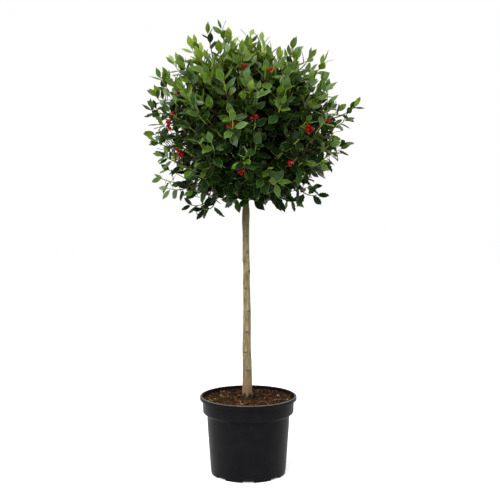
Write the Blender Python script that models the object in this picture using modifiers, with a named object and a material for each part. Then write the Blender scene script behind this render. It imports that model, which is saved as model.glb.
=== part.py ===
"""A young holly grown as a standard: a clear stem with a round head of foliage, in its nursery pot.

The pot stands on z = 0 with its axis on Z, and the front is the -Y side. The trunk rises from the
compost, leans a little to -X and runs on up through the head. Boughs leave it in three rings, and each
carries one mass of foliage, with one more on the trunk's tip. All lengths are in metres.
"""

import math
import random

import bmesh
import bpy
from mathutils import Vector
from mathutils.bvhtree import BVHTree

GAP = 0.0003
UP = Vector((0.0, 0.0, 1.0))
GOLDEN_ANGLE = math.radians(137.508)
GOLDEN_SHARE = 0.618
SHARP_ANGLE = math.radians(35)

# Pot: the ten-litre nursery size, with a rolled lip over a collar and drain notches round the foot
POT_SIDES = 32
POT_HEIGHT = 0.2245
POT_WALL = 0.002
POT_FLOOR = 0.0025
FOOT_RADIUS = 0.1075
BODY_RADIUS, BODY_TOP = 0.1192, 0.165
COLLAR_RADIUS, COLLAR_FOOT = 0.1306, 0.180
NECK_RADIUS, NECK_HEIGHT = 0.1318, 0.205
LIP_RADIUS, LIP_DEPTH, LIP_WIDTH = 0.140, 0.011, 0.0055
LIP_ROUND = 0.0018
NOTCHES = 8
NOTCH_WIDTH, NOTCH_HEIGHT, NOTCH_DEPTH = 0.036, 0.008, 0.009
COMPOST_TOP = 0.2115

# Trunk: its axis leans and waves, and its radius flares at the root and swells under the head
TRUNK_FOOT = COMPOST_TOP + GAP
TRUNK_TIP = 1.080
TRUNK_STEPS = 20
TRUNK_X, TRUNK_LEAN = -0.0025, -0.009
WAVE, WAVE_CREST, WAVE_LENGTH, DEPTH_WAVE_LENGTH = 0.0014, 0.475, 0.25, 0.40
STEM_RADIUS, STEM_TAPER, STEM_TAPER_TOP = 0.0092, 0.0052, 0.68
FLARE, FLARE_HEIGHT = 0.0028, 0.012
LEVEL_END = 0.004
FLARE_STEPS = (0.0, LEVEL_END, 0.010, 0.020, 0.035)
SWELL, SWELL_HEIGHT, SWELL_REACH = 0.0014, 0.745, 0.03
LEADER_FOOT, LEADER_TIP_RADIUS = 0.77, 0.0045

# Boughs and the masses they carry, ring by ring
BOUGH_ROOT_RADIUS, BOUGH_TIP_RADIUS = 0.0058, 0.0042
BOUGH_STEPS = 4
BOUGH_COLLAR, BOUGH_REACH = 0.008, 0.020
STEM_STRAIGHT, STEM_TIP_SHARE, STEM_STEPS = 0.03, 0.6, 4
RINGS = {
    # ring: masses, elevation, first azimuth, root heights from and to, foot out and up, stem end out and up
    "low": (5, -42, 54, 0.800, 0.850, 0.095, 0.866, 0.150, 0.874),
    "middle": (7, 4, 0, 0.895, 0.955, 0.100, 1.008, 0.172, 1.040),
    "high": (5, 44, 18, 0.985, 1.030, 0.062, 1.092, 0.112, 1.165),
}
TOP_STEM_END = 1.185

# Head: its outline is as seen from the front, at every 30 degrees anticlockwise from +X
HEAD_CENTRE = Vector((0.005, 0.0, 1.030))
CLOCK_REACH = (0.278, 0.262, 0.250, 0.255, 0.255, 0.272, 0.275, 0.268, 0.275, 0.228, 0.272, 0.272)
CLOCK_STEP = 360 / len(CLOCK_REACH)
# Shoots that stand out of the outline: clock direction in degrees, reach in millimetres
PROUD_SHOOTS = (
    (6, 330), (22, 284), (37, 296), (47, 287), (60, 268), (90, 287), (108, 296), (116, 316),
    (127, 288), (141, 302), (154, 291), (165, 324), (176, 314), (192, 320), (205, 296), (213, 346),
    (221, 340), (235, 337), (243, 325), (256, 286), (286, 275), (299, 307), (311, 325), (324, 284),
    (337, 291), (346, 314), (358, 302),
)
PROUD_DEPTH = math.radians(9)
SHOOTS = 92
LOWEST_SHOOT = -0.93
SHOOT_APART = math.radians(13)
PROUD_EVERY, PROUD_SHARE = 5, 0.10
SPACE_MARGIN = 0.0008
LIMB_MARGIN = 0.005

# Twigs and leaves
SEED = 11
TWIG_ROOT_RADIUS, TWIG_TIP_RADIUS = 0.0021, 0.0012
TWIG_STEPS = 2
TWIG_FREE = 0.35
FIRST_TWIG, LAST_TWIG = 0.25, 0.95
# A twig first bows upwards low in the head, and hangs first and then rises in the rest of it
TWIG_BOW, BOW_TURN = 0.16, -0.3
LEAF_LENGTH, LEAF_WIDTH, LEAF_KEEL = 0.062, 0.038, 0.0026
LEAF_WIDEST, LEAF_DROOP, LEAF_SUNK = 0.45, 0.06, 0.0008
LEAF_SIZES = (0.86, 1.08)
LEAF_ROOT_SHARE = 0.2
LEAF_HANG = 0.12
TIP_ROOM = 0.6 * LEAF_LENGTH
SIDE_LEAVES = (0.54, 0.66, 0.78, 0.90)
TIP_LEAVES = (0.985, 0.985)
SIDE_PITCH, TIP_PITCH = math.radians(58), math.radians(24)
PITCH_SPREAD = (0.85, 1.15)
REACH_SLACK, TIP_STEP = 0.004, 0.02
TRIES, SHRINK, DRAW_IN = 12, 0.02, 0.12
CORE_PLACE, CORE_INNER, CORE_OUTER = 0.58, 0.42, 0.76
CORE_LUMPS, CORE_STEP = 0.14, 0.002
CORE_PASSES, CORE_DRAW_IN, FACE_ROWS = 8, 0.92, 5

# Berries: where clusters show from the front, as x, z and how many
BERRY_RADIUS = 0.006
BERRY_CLUSTERS = (
    (-0.017, 1.177, 2), (-0.203, 1.107, 1), (-0.215, 1.043, 2), (-0.227, 1.008, 2),
    (-0.049, 1.008, 2), (0.021, 1.037, 1), (0.068, 1.168, 2), (0.181, 0.999, 2),
    (0.240, 1.017, 2), (-0.201, 0.926, 2), (-0.020, 0.880, 2), (0.129, 0.909, 2),
)
BACK_CLUSTERS = 6
BERRY_SHARES = (0.6, 0.75, 0.9)
BERRY_SEAT, BERRY_STEP = 0.0057, 0.005
FRONT_EDGE, BACK_EDGE, HEAD_DEPTH = 0.02, 0.05, 0.20

COLOURS = {
    "pot": ((0.012, 0.012, 0.013), 0.45),
    "compost": ((0.085, 0.040, 0.018), 0.95),
    "trunk": ((0.30, 0.25, 0.15), 0.80),
    "bough": ((0.16, 0.14, 0.07), 0.75),
    "leaf": ((0.030, 0.075, 0.022), 0.35),
    "twig": ((0.12, 0.14, 0.04), 0.60),
    "berry": ((0.55, 0.012, 0.008), 0.25),
}


def clear_scene():
    for item in list(bpy.data.objects):
        bpy.data.objects.remove(item, do_unlink=True)


def new_collection(name):
    collection = bpy.data.collections.new(name)
    bpy.context.scene.collection.children.link(collection)
    return collection


def material(name, kind):
    colour, roughness = COLOURS[kind]
    made = bpy.data.materials.new(name)
    made.use_nodes = True
    shader = made.node_tree.nodes["Principled BSDF"]
    shader.inputs["Base Color"].default_value = (*colour, 1.0)
    shader.inputs["Roughness"].default_value = roughness
    shader.inputs["Metallic"].default_value = 0.0
    made.diffuse_color = (*colour, 1.0)
    return made


def add_object(name, data, collection, *materials):
    item = bpy.data.objects.new(name, data)
    collection.objects.link(item)
    for one in materials:
        data.materials.append(one)
    return item


def mesh_from(name, build):
    """A mesh that the function build fills in an empty bmesh."""
    shape = bmesh.new()
    build(shape)
    mesh = bpy.data.meshes.new(name)
    shape.to_mesh(mesh)
    shape.free()
    return mesh


def settle(item):
    """Replaces the item's mesh with the one its modifiers make, shaded smooth except at its corners."""
    graph = bpy.context.evaluated_depsgraph_get()
    made = bpy.data.meshes.new_from_object(item.evaluated_get(graph))
    made.shade_smooth()
    made.set_sharp_from_angle(angle=SHARP_ANGLE)
    item.modifiers.clear()
    item.data = made


def along(points, share):
    """The point of a quadratic or cubic Bezier curve at a share of its way."""
    points = list(points)
    while len(points) > 1:
        points = [a.lerp(b, share) for a, b in zip(points, points[1:])]
    return points[0]


def taper(start, end, steps):
    """Values from start to end in even steps."""
    return [start + (end - start) * k / steps for k in range(steps + 1)]


def around(azimuth, elevation):
    """The unit vector at an azimuth and an elevation, in radians."""
    flat = math.cos(elevation)
    return Vector((flat * math.cos(azimuth), flat * math.sin(azimuth), math.sin(elevation)))


# Pot and compost


def turned(name, profile, collection, made):
    """A solid turned about Z from its profile of radius and height, which runs down the outer side."""

    def build(shape):
        corners = [shape.verts.new((radius, 0.0, height)) for radius, height in profile]
        for a, b in zip(corners, corners[1:]):
            shape.edges.new((a, b))

    item = add_object(name, mesh_from(name, build), collection, made)
    screw = item.modifiers.new("turn", "SCREW")
    screw.steps = screw.render_steps = POT_SIDES
    screw.use_merge_vertices = True
    screw.merge_threshold = 0.00001
    screw.use_smooth_shade = True
    return item


def inner_wall():
    """The pot's inside as radius and height, from the floor up to the lip."""
    return [
        (FOOT_RADIUS - POT_WALL, POT_FLOOR),
        (BODY_RADIUS - POT_WALL, BODY_TOP),
        (COLLAR_RADIUS - POT_WALL, COLLAR_FOOT),
        (NECK_RADIUS - POT_WALL, NECK_HEIGHT),
        (LIP_RADIUS - LIP_WIDTH, POT_HEIGHT - LIP_ROUND),
    ]


def make_pot(collection, cutters):
    profile = [(0.0, POT_FLOOR)] + inner_wall() + [
        (LIP_RADIUS - LIP_WIDTH + LIP_ROUND, POT_HEIGHT),
        (LIP_RADIUS - LIP_ROUND, POT_HEIGHT),
        (LIP_RADIUS, POT_HEIGHT - LIP_ROUND),
        (LIP_RADIUS, POT_HEIGHT - LIP_DEPTH),
        (NECK_RADIUS, NECK_HEIGHT),
        (COLLAR_RADIUS, COLLAR_FOOT),
        (BODY_RADIUS, BODY_TOP),
        (FOOT_RADIUS, 0.0),
        (0.0, 0.0),
    ]
    pot = turned("pot", profile, collection, material("black pot", "pot"))
    cut = pot.modifiers.new("drain notches", "BOOLEAN")
    cut.operation = "DIFFERENCE"
    cut.operand_type = "COLLECTION"
    cut.collection = cutters
    for index in range(NOTCHES):
        bpy.ops.mesh.primitive_cube_add(size=1.0)
        notch = bpy.context.object
        notch.name = f"notch cutter {index + 1}"
        notch.users_collection[0].objects.unlink(notch)
        cutters.objects.link(notch)
        turn = math.tau * index / NOTCHES - math.pi / 2
        notch.scale = (2 * NOTCH_DEPTH, NOTCH_WIDTH, 2 * NOTCH_HEIGHT)
        notch.rotation_euler.z = turn
        notch.location = (FOOT_RADIUS * math.cos(turn), FOOT_RADIUS * math.sin(turn), 0.0)
        notch.hide_render = True
        notch.display_type = "WIRE"
    settle(pot)


def make_compost(collection):
    """The compost fills the pot up to its top, a gap clear of the wall and the floor."""
    below = [point for point in inner_wall() if point[1] < COMPOST_TOP]
    neck, lip = below[-1], inner_wall()[-1]
    share = (COMPOST_TOP - neck[1]) / (lip[1] - neck[1])
    wall = below + [(neck[0] + (lip[0] - neck[0]) * share, COMPOST_TOP)]
    profile = [(0.0, COMPOST_TOP)]
    profile += [(radius - 2 * GAP, max(height, POT_FLOOR + GAP)) for radius, height in reversed(wall)]
    profile.append((0.0, POT_FLOOR + GAP))
    settle(turned("compost", profile, collection, material("bark and coir compost", "compost")))


# Trunk and boughs


def trunk_axis(height):
    wave = WAVE * math.cos(math.tau * (height - WAVE_CREST) / WAVE_LENGTH)
    depth = WAVE * math.sin(math.tau * (height - WAVE_CREST) / DEPTH_WAVE_LENGTH)
    return Vector((TRUNK_X + TRUNK_LEAN * (height - COMPOST_TOP) + wave, depth, height))


def trunk_radius(height):
    """A quick taper low down and a slow one above it, then the leader's straight taper in the head."""
    if height > LEADER_FOOT:
        share = (height - LEADER_FOOT) / (TRUNK_TIP - LEADER_FOOT)
        return STEM_RADIUS + (LEADER_TIP_RADIUS - STEM_RADIUS) * share
    left = max(0.0, (STEM_TAPER_TOP - height) / (STEM_TAPER_TOP - COMPOST_TOP))
    flare = FLARE * math.exp((TRUNK_FOOT - height) / FLARE_HEIGHT)
    swell = SWELL * math.exp(-(((height - SWELL_HEIGHT) / SWELL_REACH) ** 2))
    return STEM_RADIUS + STEM_TAPER * left**1.5 + flare + swell


def limb(name, points, radii, resolution, collection, *materials):
    """A tapering limb: a curve through the points, as thick at each as its radius says."""
    curve = bpy.data.curves.new(name, "CURVE")
    curve.dimensions = "3D"
    curve.bevel_depth = 1.0
    curve.bevel_resolution = resolution
    curve.use_fill_caps = True
    spline = curve.splines.new("POLY")
    spline.points.add(len(points) - 1)
    for corner, point, radius in zip(spline.points, points, radii):
        corner.co = (*point, 1.0)
        corner.radius = radius
    return add_object(name, curve, collection, *materials)


def make_trunk(collection):
    """Short steps round the root flare, then even ones, with a level cut at the foot and at the tip."""
    heights = [TRUNK_FOOT + rise for rise in FLARE_STEPS]
    heights += taper(heights[-1], TRUNK_TIP - LEVEL_END, TRUNK_STEPS)[1:] + [TRUNK_TIP]
    points = [trunk_axis(height) for height in heights]
    points[0].xy = points[1].xy
    points[-2].xy = points[-1].xy
    radii = [trunk_radius(height) for height in heights]
    limb("trunk", points, radii, 3, collection, material("grey-brown bark", "trunk"))
    return list(zip(points, points[1:], radii))


class Mass:
    """One mass of foliage: its direction from the head's centre, its bough's route and its own stem's."""

    def __init__(self, name, direction, bough, stem):
        self.name = name
        self.direction = direction
        self.bough = bough
        self.stem = stem
        self.shoots = []


def bough_route(root_height, foot, stem_end):
    """The bough leaves the trunk square to it, rises, and ends along its mass's stem."""
    axis = trunk_axis(root_height)
    out = (foot - axis).xy.normalized().to_3d()
    root = axis + out * (trunk_radius(root_height) + 2 * GAP)
    end_way = (stem_end - foot).normalized()
    start, end = root + out * BOUGH_COLLAR, foot - end_way * BOUGH_COLLAR
    handles = [start, start + out * BOUGH_REACH, end - end_way * BOUGH_REACH, end]
    return [root] + [along(handles, k / BOUGH_STEPS) for k in range(BOUGH_STEPS + 1)] + [foot]


def plan_masses():
    """One mass over the trunk's tip, then the rings' masses, each with a bough to its foot."""
    centre = HEAD_CENTRE.xy.to_3d()
    top_foot = trunk_axis(TRUNK_TIP)
    top_stem = [top_foot + UP * GAP, top_foot + UP * STEM_STRAIGHT, centre + UP * TOP_STEM_END]
    masses = [Mass("foliage_top", UP.copy(), None, top_stem)]
    for ring, (count, elevation, first, low, high, foot_out, foot_up, end_out, end_up) in RINGS.items():
        for index in range(count):
            azimuth = math.radians(first + 360 * index / count)
            root_height = low + (high - low) * ((index * GOLDEN_SHARE) % 1.0)
            flat = around(azimuth, 0.0)
            foot = centre + flat * foot_out + UP * foot_up
            end = centre + flat * end_out + UP * end_up
            bough = bough_route(root_height, foot, end)
            way = (end - foot).normalized()
            stem = [foot + way * GAP, foot + way * STEM_STRAIGHT, end]
            direction = around(azimuth, math.radians(elevation))
            masses.append(Mass(f"foliage_{ring}_{index + 1}", direction, bough, stem))
    return masses


def make_boughs(masses, collection):
    """Makes each mass's bough, and returns their segments with their radii."""
    segments = []
    for mass in masses:
        if mass.bough is None:
            continue
        last = len(mass.bough) - 1
        radii = taper(BOUGH_ROOT_RADIUS, BOUGH_TIP_RADIUS, last)
        name = mass.name.replace("foliage", "bough")
        limb(name, mass.bough, radii, 0, collection, material(f"{name} bark", "bough"))
        segments += zip(mass.bough, mass.bough[1:], radii)
    return segments


# The head's space: each mass keeps to its own wedge of it, inside the reach and clear of the limbs


def reach(direction):
    """The head's reach one way: its left and right outline at that height, shared out round the sides."""

    def outline(degrees):
        step = (degrees % 360) / CLOCK_STEP
        low = int(step)
        a, b = CLOCK_REACH[low % len(CLOCK_REACH)], CLOCK_REACH[(low + 1) % len(CLOCK_REACH)]
        return a + (b - a) * (step - low)

    elevation = math.degrees(math.asin(max(-1.0, min(1.0, direction.z))))
    flat = math.hypot(direction.x, direction.y)
    side = direction.x / flat if flat > 1e-6 else 0.0
    right, left = outline(elevation), outline(180 - elevation)
    return right * (1 + side) / 2 + left * (1 - side) / 2


def plan_shoots(masses):
    """Shares the shoots' tips out: first the proud ones of the outline, then an even spiral over the head."""
    tips = []
    for index, (clock, length) in enumerate(PROUD_SHOOTS):
        angle = math.radians(clock)
        depth = PROUD_DEPTH if index % 2 else -PROUD_DEPTH
        flat = Vector((math.cos(angle), 0.0, math.sin(angle)))
        direction = (flat + Vector((0.0, math.tan(depth), 0.0))).normalized()
        tips.append((direction, length / 1000 / math.cos(depth)))
    proud = [direction for direction, length in tips]
    for index in range(SHOOTS):
        height = 1 - (index + 0.5) * (1 - LOWEST_SHOOT) / SHOOTS
        direction = around(index * GOLDEN_ANGLE, math.asin(height))
        if min(direction.angle(other) for other in proud) < SHOOT_APART:
            continue
        extra = 1 + PROUD_SHARE if index % PROUD_EVERY == 0 else 1.0
        tips.append((direction, reach(direction) * extra))
    for direction, length in tips:
        nearest = max(masses, key=lambda mass: mass.direction.dot(direction))
        nearest.shoots.append((direction, length))


def limb_room(point, limbs):
    """How far a point lies from the surface of the nearest limb."""
    room = 1.0
    for a, b, radius in limbs:
        way = b - a
        share = max(0.0, min(1.0, (point - a).dot(way) / way.length_squared))
        room = min(room, (point - a - way * share).length - radius)
    return room


class Space:
    """The room of one mass: planes towards its neighbours through the head's centre, and the limbs."""

    def __init__(self, mass, masses, limbs):
        self.planes = [
            (mass.direction - other.direction).normalized() for other in masses if other is not mass
        ]
        self.limbs = limbs

    def depth(self, point):
        from_centre = point - HEAD_CENTRE
        return min(from_centre.dot(plane) for plane in self.planes)

    def holds(self, points, thickness=0.0):
        return all(
            self.depth(point) > SPACE_MARGIN + thickness
            and limb_room(point, self.limbs) > LIMB_MARGIN + thickness
            for point in points
        )


# Foliage


def leaf_corners(root, way, face, length):
    """A leaf's corners: its root, its tip, its two sides, and the keel under the middle."""
    normal = (face - way * face.dot(way)).normalized()
    across = way.cross(normal) * length * LEAF_WIDTH / LEAF_LENGTH / 2
    widest = root + way * length * LEAF_WIDEST
    tip = root + way * length - normal * length * LEAF_DROOP
    return [root, tip, widest + across, widest - across, widest - normal * LEAF_KEEL]


LEAF_FACES = ((0, 2, 3), (1, 3, 2), (0, 4, 2), (0, 3, 4), (1, 2, 4), (1, 4, 3))


def leaf_samples(corners):
    """Points all over a leaf, to test where it lies."""
    root, tip, left, right, keel = corners
    middle = root.lerp(tip, 0.5)
    edges = [end.lerp(side, 0.5) for end in (root, tip, middle) for side in (left, right)]
    return corners + [middle] + edges


class Crowd:
    """The leaves placed so far, which the next one may not cut through."""

    def __init__(self):
        self.points = []
        self.faces = []

    def add(self, corners):
        first = len(self.points)
        self.points += corners
        self.faces += [[first + k for k in face] for face in LEAF_FACES]

    def cut_by(self, corners):
        """Tests a leaf's blade, which leaves out its root: leaves of one tip meet there."""
        if not self.faces:
            return False
        root, tip = corners[:2]
        blade = [root.lerp(tip, LEAF_ROOT_SHARE)] + corners[1:]
        crowd = BVHTree.FromPolygons(self.points, self.faces)
        return bool(BVHTree.FromPolygons(blade, LEAF_FACES).overlap(crowd))


def place_leaf(origin, axis, outward, turn, pitch, length, space, limit, crowd):
    """Finds a leaf that keeps to the space: the first turn of it about the twig that does, or none."""
    level = axis.cross(UP).normalized()
    rise = level.cross(axis)
    face = axis + outward + UP
    for attempt in range(TRIES):
        swing = turn + math.tau * attempt / TRIES
        side = rise * math.cos(swing) + level * math.sin(swing)
        way = axis * math.cos(pitch) + side * math.sin(pitch) - UP * LEAF_HANG * (1 - outward.z)
        way.normalize()
        corners = leaf_corners(origin - way * LEAF_SUNK, way, face, length * (1 - SHRINK * attempt))
        if (corners[1] - HEAD_CENTRE).length > limit or not space.holds(leaf_samples(corners)):
            continue
        if not crowd.cut_by(corners):
            return corners
    return None


def leaf_mesh(corners):
    def build(shape):
        points = [shape.verts.new(corner) for corner in corners]
        for face in LEAF_FACES:
            shape.faces.new([points[corner] for corner in face])
        bmesh.ops.recalc_face_normals(shape, faces=shape.faces)

    return mesh_from("leaf", build)


def grow_twig(mass, direction, length, share, space):
    """A twig from the stem to just short of its shoot's reach, drawn in until it keeps to the space."""
    root = along(mass.stem, share)
    for attempt in range(TRIES):
        tip = HEAD_CENTRE + direction * (length - TIP_ROOM)
        bow = (tip - root).length * TWIG_BOW * (direction.z - BOW_TURN)
        route = (root, root.lerp(tip, 0.5) - UP * bow, tip)
        tested = [along(route, share) for share in taper(TWIG_FREE, 1.0, 2 * TRIES)]
        if space.holds(tested, TWIG_ROOT_RADIUS):
            return [along(route, k / TWIG_STEPS) for k in range(TWIG_STEPS + 1)]
        direction = direction.lerp(mass.direction, DRAW_IN).normalized()
    return None


def face_samples(face):
    """Points in even rows over a triangle."""
    a, b, c = [corner.co for corner in face.verts]
    rows = range(FACE_ROWS + 1)
    return [a + ((b - a) * i + (c - a) * j) / FACE_ROWS for i in rows for j in rows if i + j <= FACE_ROWS]


def core_mesh(mass, space):
    """A lumpy core round the stem: a ball whose corners go out until they meet the edge of their room."""
    centre = HEAD_CENTRE + mass.direction * CORE_PLACE * reach(mass.direction)
    draw = random.Random(f"{SEED} {mass.name} core")

    def in_room(point):
        from_head = point - HEAD_CENTRE
        share = from_head.length / reach(from_head.normalized())
        return CORE_INNER < share < CORE_OUTER and space.holds([point])

    def build(shape):
        bmesh.ops.create_icosphere(shape, subdivisions=2, radius=1.0)
        for corner in shape.verts:
            way = corner.co.normalized()
            length = CORE_STEP
            while in_room(centre + way * (length + CORE_STEP)):
                length += CORE_STEP
            corner.co = centre + way * length * (1 - CORE_LUMPS * draw.random())
        extent = max((corner.co - centre).length for corner in shape.verts)
        near = [limb for limb in space.limbs if limb_room(centre, [limb]) < extent + LIMB_MARGIN]
        for face in list(shape.faces) * CORE_PASSES:
            if any(limb_room(point, near) < LIMB_MARGIN for point in face_samples(face)):
                for corner in face.verts:
                    corner.co = centre.lerp(corner.co, CORE_DRAW_IN)

    return mesh_from("core", build)


def as_mesh(curve_object, collection):
    """The same limb as a mesh, with its caps welded on."""
    graph = bpy.context.evaluated_depsgraph_get()
    mesh = bpy.data.meshes.new_from_object(curve_object.evaluated_get(graph))
    shape = bmesh.new()
    shape.from_mesh(mesh)
    bmesh.ops.remove_doubles(shape, verts=shape.verts, dist=0.00001)
    bmesh.ops.recalc_face_normals(shape, faces=shape.faces)
    shape.to_mesh(mesh)
    shape.free()
    item = bpy.data.objects.new(curve_object.name, mesh)
    item.matrix_world = curve_object.matrix_world
    collection.objects.link(item)
    bpy.data.objects.remove(curve_object, do_unlink=True)
    return item


def twig_object(points, section, collection, made):
    """A three-sided twig: a curve that sweeps the small triangle."""
    radii = taper(TWIG_ROOT_RADIUS, TWIG_TIP_RADIUS, TWIG_STEPS)
    twig = limb("twig", points, radii, 0, collection, made)
    twig.data.bevel_mode = "OBJECT"
    twig.data.bevel_object = section
    return as_mesh(twig, collection)


def triangle_section(collection):
    """The closed triangle of unit radius that the twigs are swept with."""
    curve = bpy.data.curves.new("twig section", "CURVE")
    curve.dimensions = "2D"
    spline = curve.splines.new("POLY")
    spline.points.add(2)
    for k, corner in enumerate(spline.points):
        corner.co = (math.cos(math.tau * k / 3), math.sin(math.tau * k / 3), 0.0, 1.0)
    spline.use_cyclic_u = True
    section = add_object("twig section", curve, collection)
    section.hide_render = True
    section.display_type = "WIRE"
    return section


def berry_places(twigs):
    """Gives each cluster its mass, its twig and its place on it: the front's clusters, then the back's."""
    spots = []
    for name, points in twigs:
        spots += [(name, points, share, along(points, share)) for share in BERRY_SHARES]
    front = [spot for spot in spots if spot[3].y < FRONT_EDGE]
    back = [spot for spot in spots if spot[3].y > BACK_EDGE]
    places = []
    for x, z, count in BERRY_CLUSTERS:
        spot = Vector((x, FRONT_EDGE - HEAD_DEPTH, z))
        name, points, share, _ = min(front, key=lambda one: (one[3] - spot).length)
        places.append((name, points, share, count))
    for index in range(BACK_CLUSTERS):
        name, points, share, _ = back[index * len(back) // BACK_CLUSTERS]
        places.append((name, points, share, 1 + index % 2))
    return places


def berry_centres(points, share, count, space):
    """A cluster sits round its twig, each berry sunk a little into it."""
    root = along(points, share)
    axis = (points[-1] - points[0]).normalized()
    level = axis.cross(UP).normalized()
    rise = level.cross(axis)
    centres = []
    for index in range(TRIES):
        turn = GOLDEN_ANGLE * index
        side = rise * math.cos(turn) + level * math.sin(turn)
        centre = root + side * BERRY_SEAT + axis * BERRY_STEP * len(centres)
        if len(centres) < count and space.holds([centre], BERRY_RADIUS):
            centres.append(centre)
    return centres


def berry_mesh():
    return mesh_from("berry", lambda shape: bmesh.ops.create_icosphere(
        shape, subdivisions=1, radius=BERRY_RADIUS))


def keep_one_body(mesh):
    """Keeps the largest closed shell alone: a sealed hollow is filled, and a loose scrap is dropped."""
    shape = bmesh.new()
    shape.from_mesh(mesh)
    left = set(shape.verts)
    shells = []
    while left:
        shell = [left.pop()]
        for vert in shell:
            near = {edge.other_vert(vert) for edge in vert.link_edges} & left
            left -= near
            shell += near
        shells.append(shell)
    shells.sort(key=len, reverse=True)
    loose = [vert for shell in shells[1:] for vert in shell]
    bmesh.ops.delete(shape, geom=loose, context="VERTS")
    shape.to_mesh(mesh)
    shape.free()


def fuse(item, pieces):
    """Joins all the pieces to the item in one union, applies it and removes the pieces."""
    union = item.modifiers.new("union", "BOOLEAN")
    union.operation = "UNION"
    union.operand_type = "COLLECTION"
    union.collection = pieces
    union.material_mode = "TRANSFER"
    graph = bpy.context.evaluated_depsgraph_get()
    joined = bpy.data.meshes.new_from_object(item.evaluated_get(graph))
    item.modifiers.clear()
    item.data = joined
    keep_one_body(joined)
    for piece in list(pieces.objects):
        bpy.data.objects.remove(piece, do_unlink=True)


def plan_twigs(mass, space):
    """The mass's twigs, in order along its stem: the shoots nearest its foot branch first."""
    foot, end = mass.stem[0], mass.stem[-1]
    way = (end - foot).normalized()
    order = sorted(mass.shoots, key=lambda shoot: way.dot(HEAD_CENTRE + shoot[0] * shoot[1] - foot))
    shares = taper(FIRST_TWIG, LAST_TWIG, max(1, len(order) - 1))
    twigs = []
    for (direction, length), share in zip(order, shares):
        points = grow_twig(mass, direction, length, share, space)
        if points:
            twigs.append((points, length))
    return twigs


def plan_leaves(mass, twigs, space):
    """Leaves in a spiral along each twig, then a pair that closes its tip."""
    draw = random.Random(f"{SEED} {mass.name} leaves")
    crowd = Crowd()
    leaves = []
    turn = 0.0
    for points, length in twigs:
        for share in SIDE_LEAVES + TIP_LEAVES:
            spot = along(points, share)
            axis = (points[-1] - along(points, share - TIP_STEP)).normalized()
            outward = (spot - HEAD_CENTRE).normalized()
            at_tip = share in TIP_LEAVES
            turn += math.pi if at_tip else GOLDEN_ANGLE
            pitch = (TIP_PITCH if at_tip else SIDE_PITCH) * draw.uniform(*PITCH_SPREAD)
            size = LEAF_LENGTH * draw.uniform(*LEAF_SIZES)
            limit = length + REACH_SLACK
            corners = place_leaf(spot, axis, outward, turn, pitch, size, space, limit, crowd)
            if corners:
                leaves.append(corners)
                crowd.add(corners)
    return leaves


def make_foliage(masses, limbs, collection, section):
    spaces = {mass.name: Space(mass, masses, limbs) for mass in masses}
    twigs = {mass.name: plan_twigs(mass, spaces[mass.name]) for mass in masses}
    berries = berry_places([(name, points) for name in twigs for points, _ in twigs[name]])
    for mass in masses:
        space = spaces[mass.name]
        pieces = new_collection("pieces")
        leaf_green = material(f"{mass.name} leaves", "leaf")
        twig_green = material(f"{mass.name} twigs", "twig")
        berry_red = material(f"{mass.name} berries", "berry")
        route = [along(mass.stem, k / STEM_STEPS) for k in range(STEM_STEPS + 1)]
        radii = taper(BOUGH_TIP_RADIUS, BOUGH_TIP_RADIUS * STEM_TIP_SHARE, STEM_STEPS)
        stem = limb("stem", route, radii, 0, pieces, twig_green)
        body = as_mesh(stem, collection)
        body.name = mass.name
        for points, _ in twigs[mass.name]:
            twig_object(points, section, pieces, twig_green)
        add_object("core", core_mesh(mass, space), pieces, leaf_green)
        for corners in plan_leaves(mass, twigs[mass.name], space):
            add_object("leaf", leaf_mesh(corners), pieces, leaf_green)
        for name, points, share, count in berries:
            if name == mass.name:
                for centre in berry_centres(points, share, count, space):
                    add_object("berry", berry_mesh(), pieces, berry_red).location = centre
        fuse(body, pieces)
        bpy.data.collections.remove(pieces)


def main():
    clear_scene()
    holly = new_collection("potted standard holly")
    cutters = new_collection("cutters")
    make_pot(holly, cutters)
    make_compost(holly)
    limbs = make_trunk(holly)
    masses = plan_masses()
    limbs += make_boughs(masses, holly)
    plan_shoots(masses)
    section = triangle_section(new_collection("guides"))
    make_foliage(masses, limbs, holly, section)
    bpy.data.objects.remove(section, do_unlink=True)


main()
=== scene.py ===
"""A potted standard holly: the looks of its pot, compost, stem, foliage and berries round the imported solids.

The pot stands on z = 0 with its axis on Z, and the front is the -Y side. All lengths are in metres.
"""

import math
import random

import bmesh
import bpy
import numpy as np
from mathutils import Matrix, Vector
from mathutils.bvhtree import BVHTree
from mathutils.geometry import delaunay_2d_cdt
from mathutils.kdtree import KDTree


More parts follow.
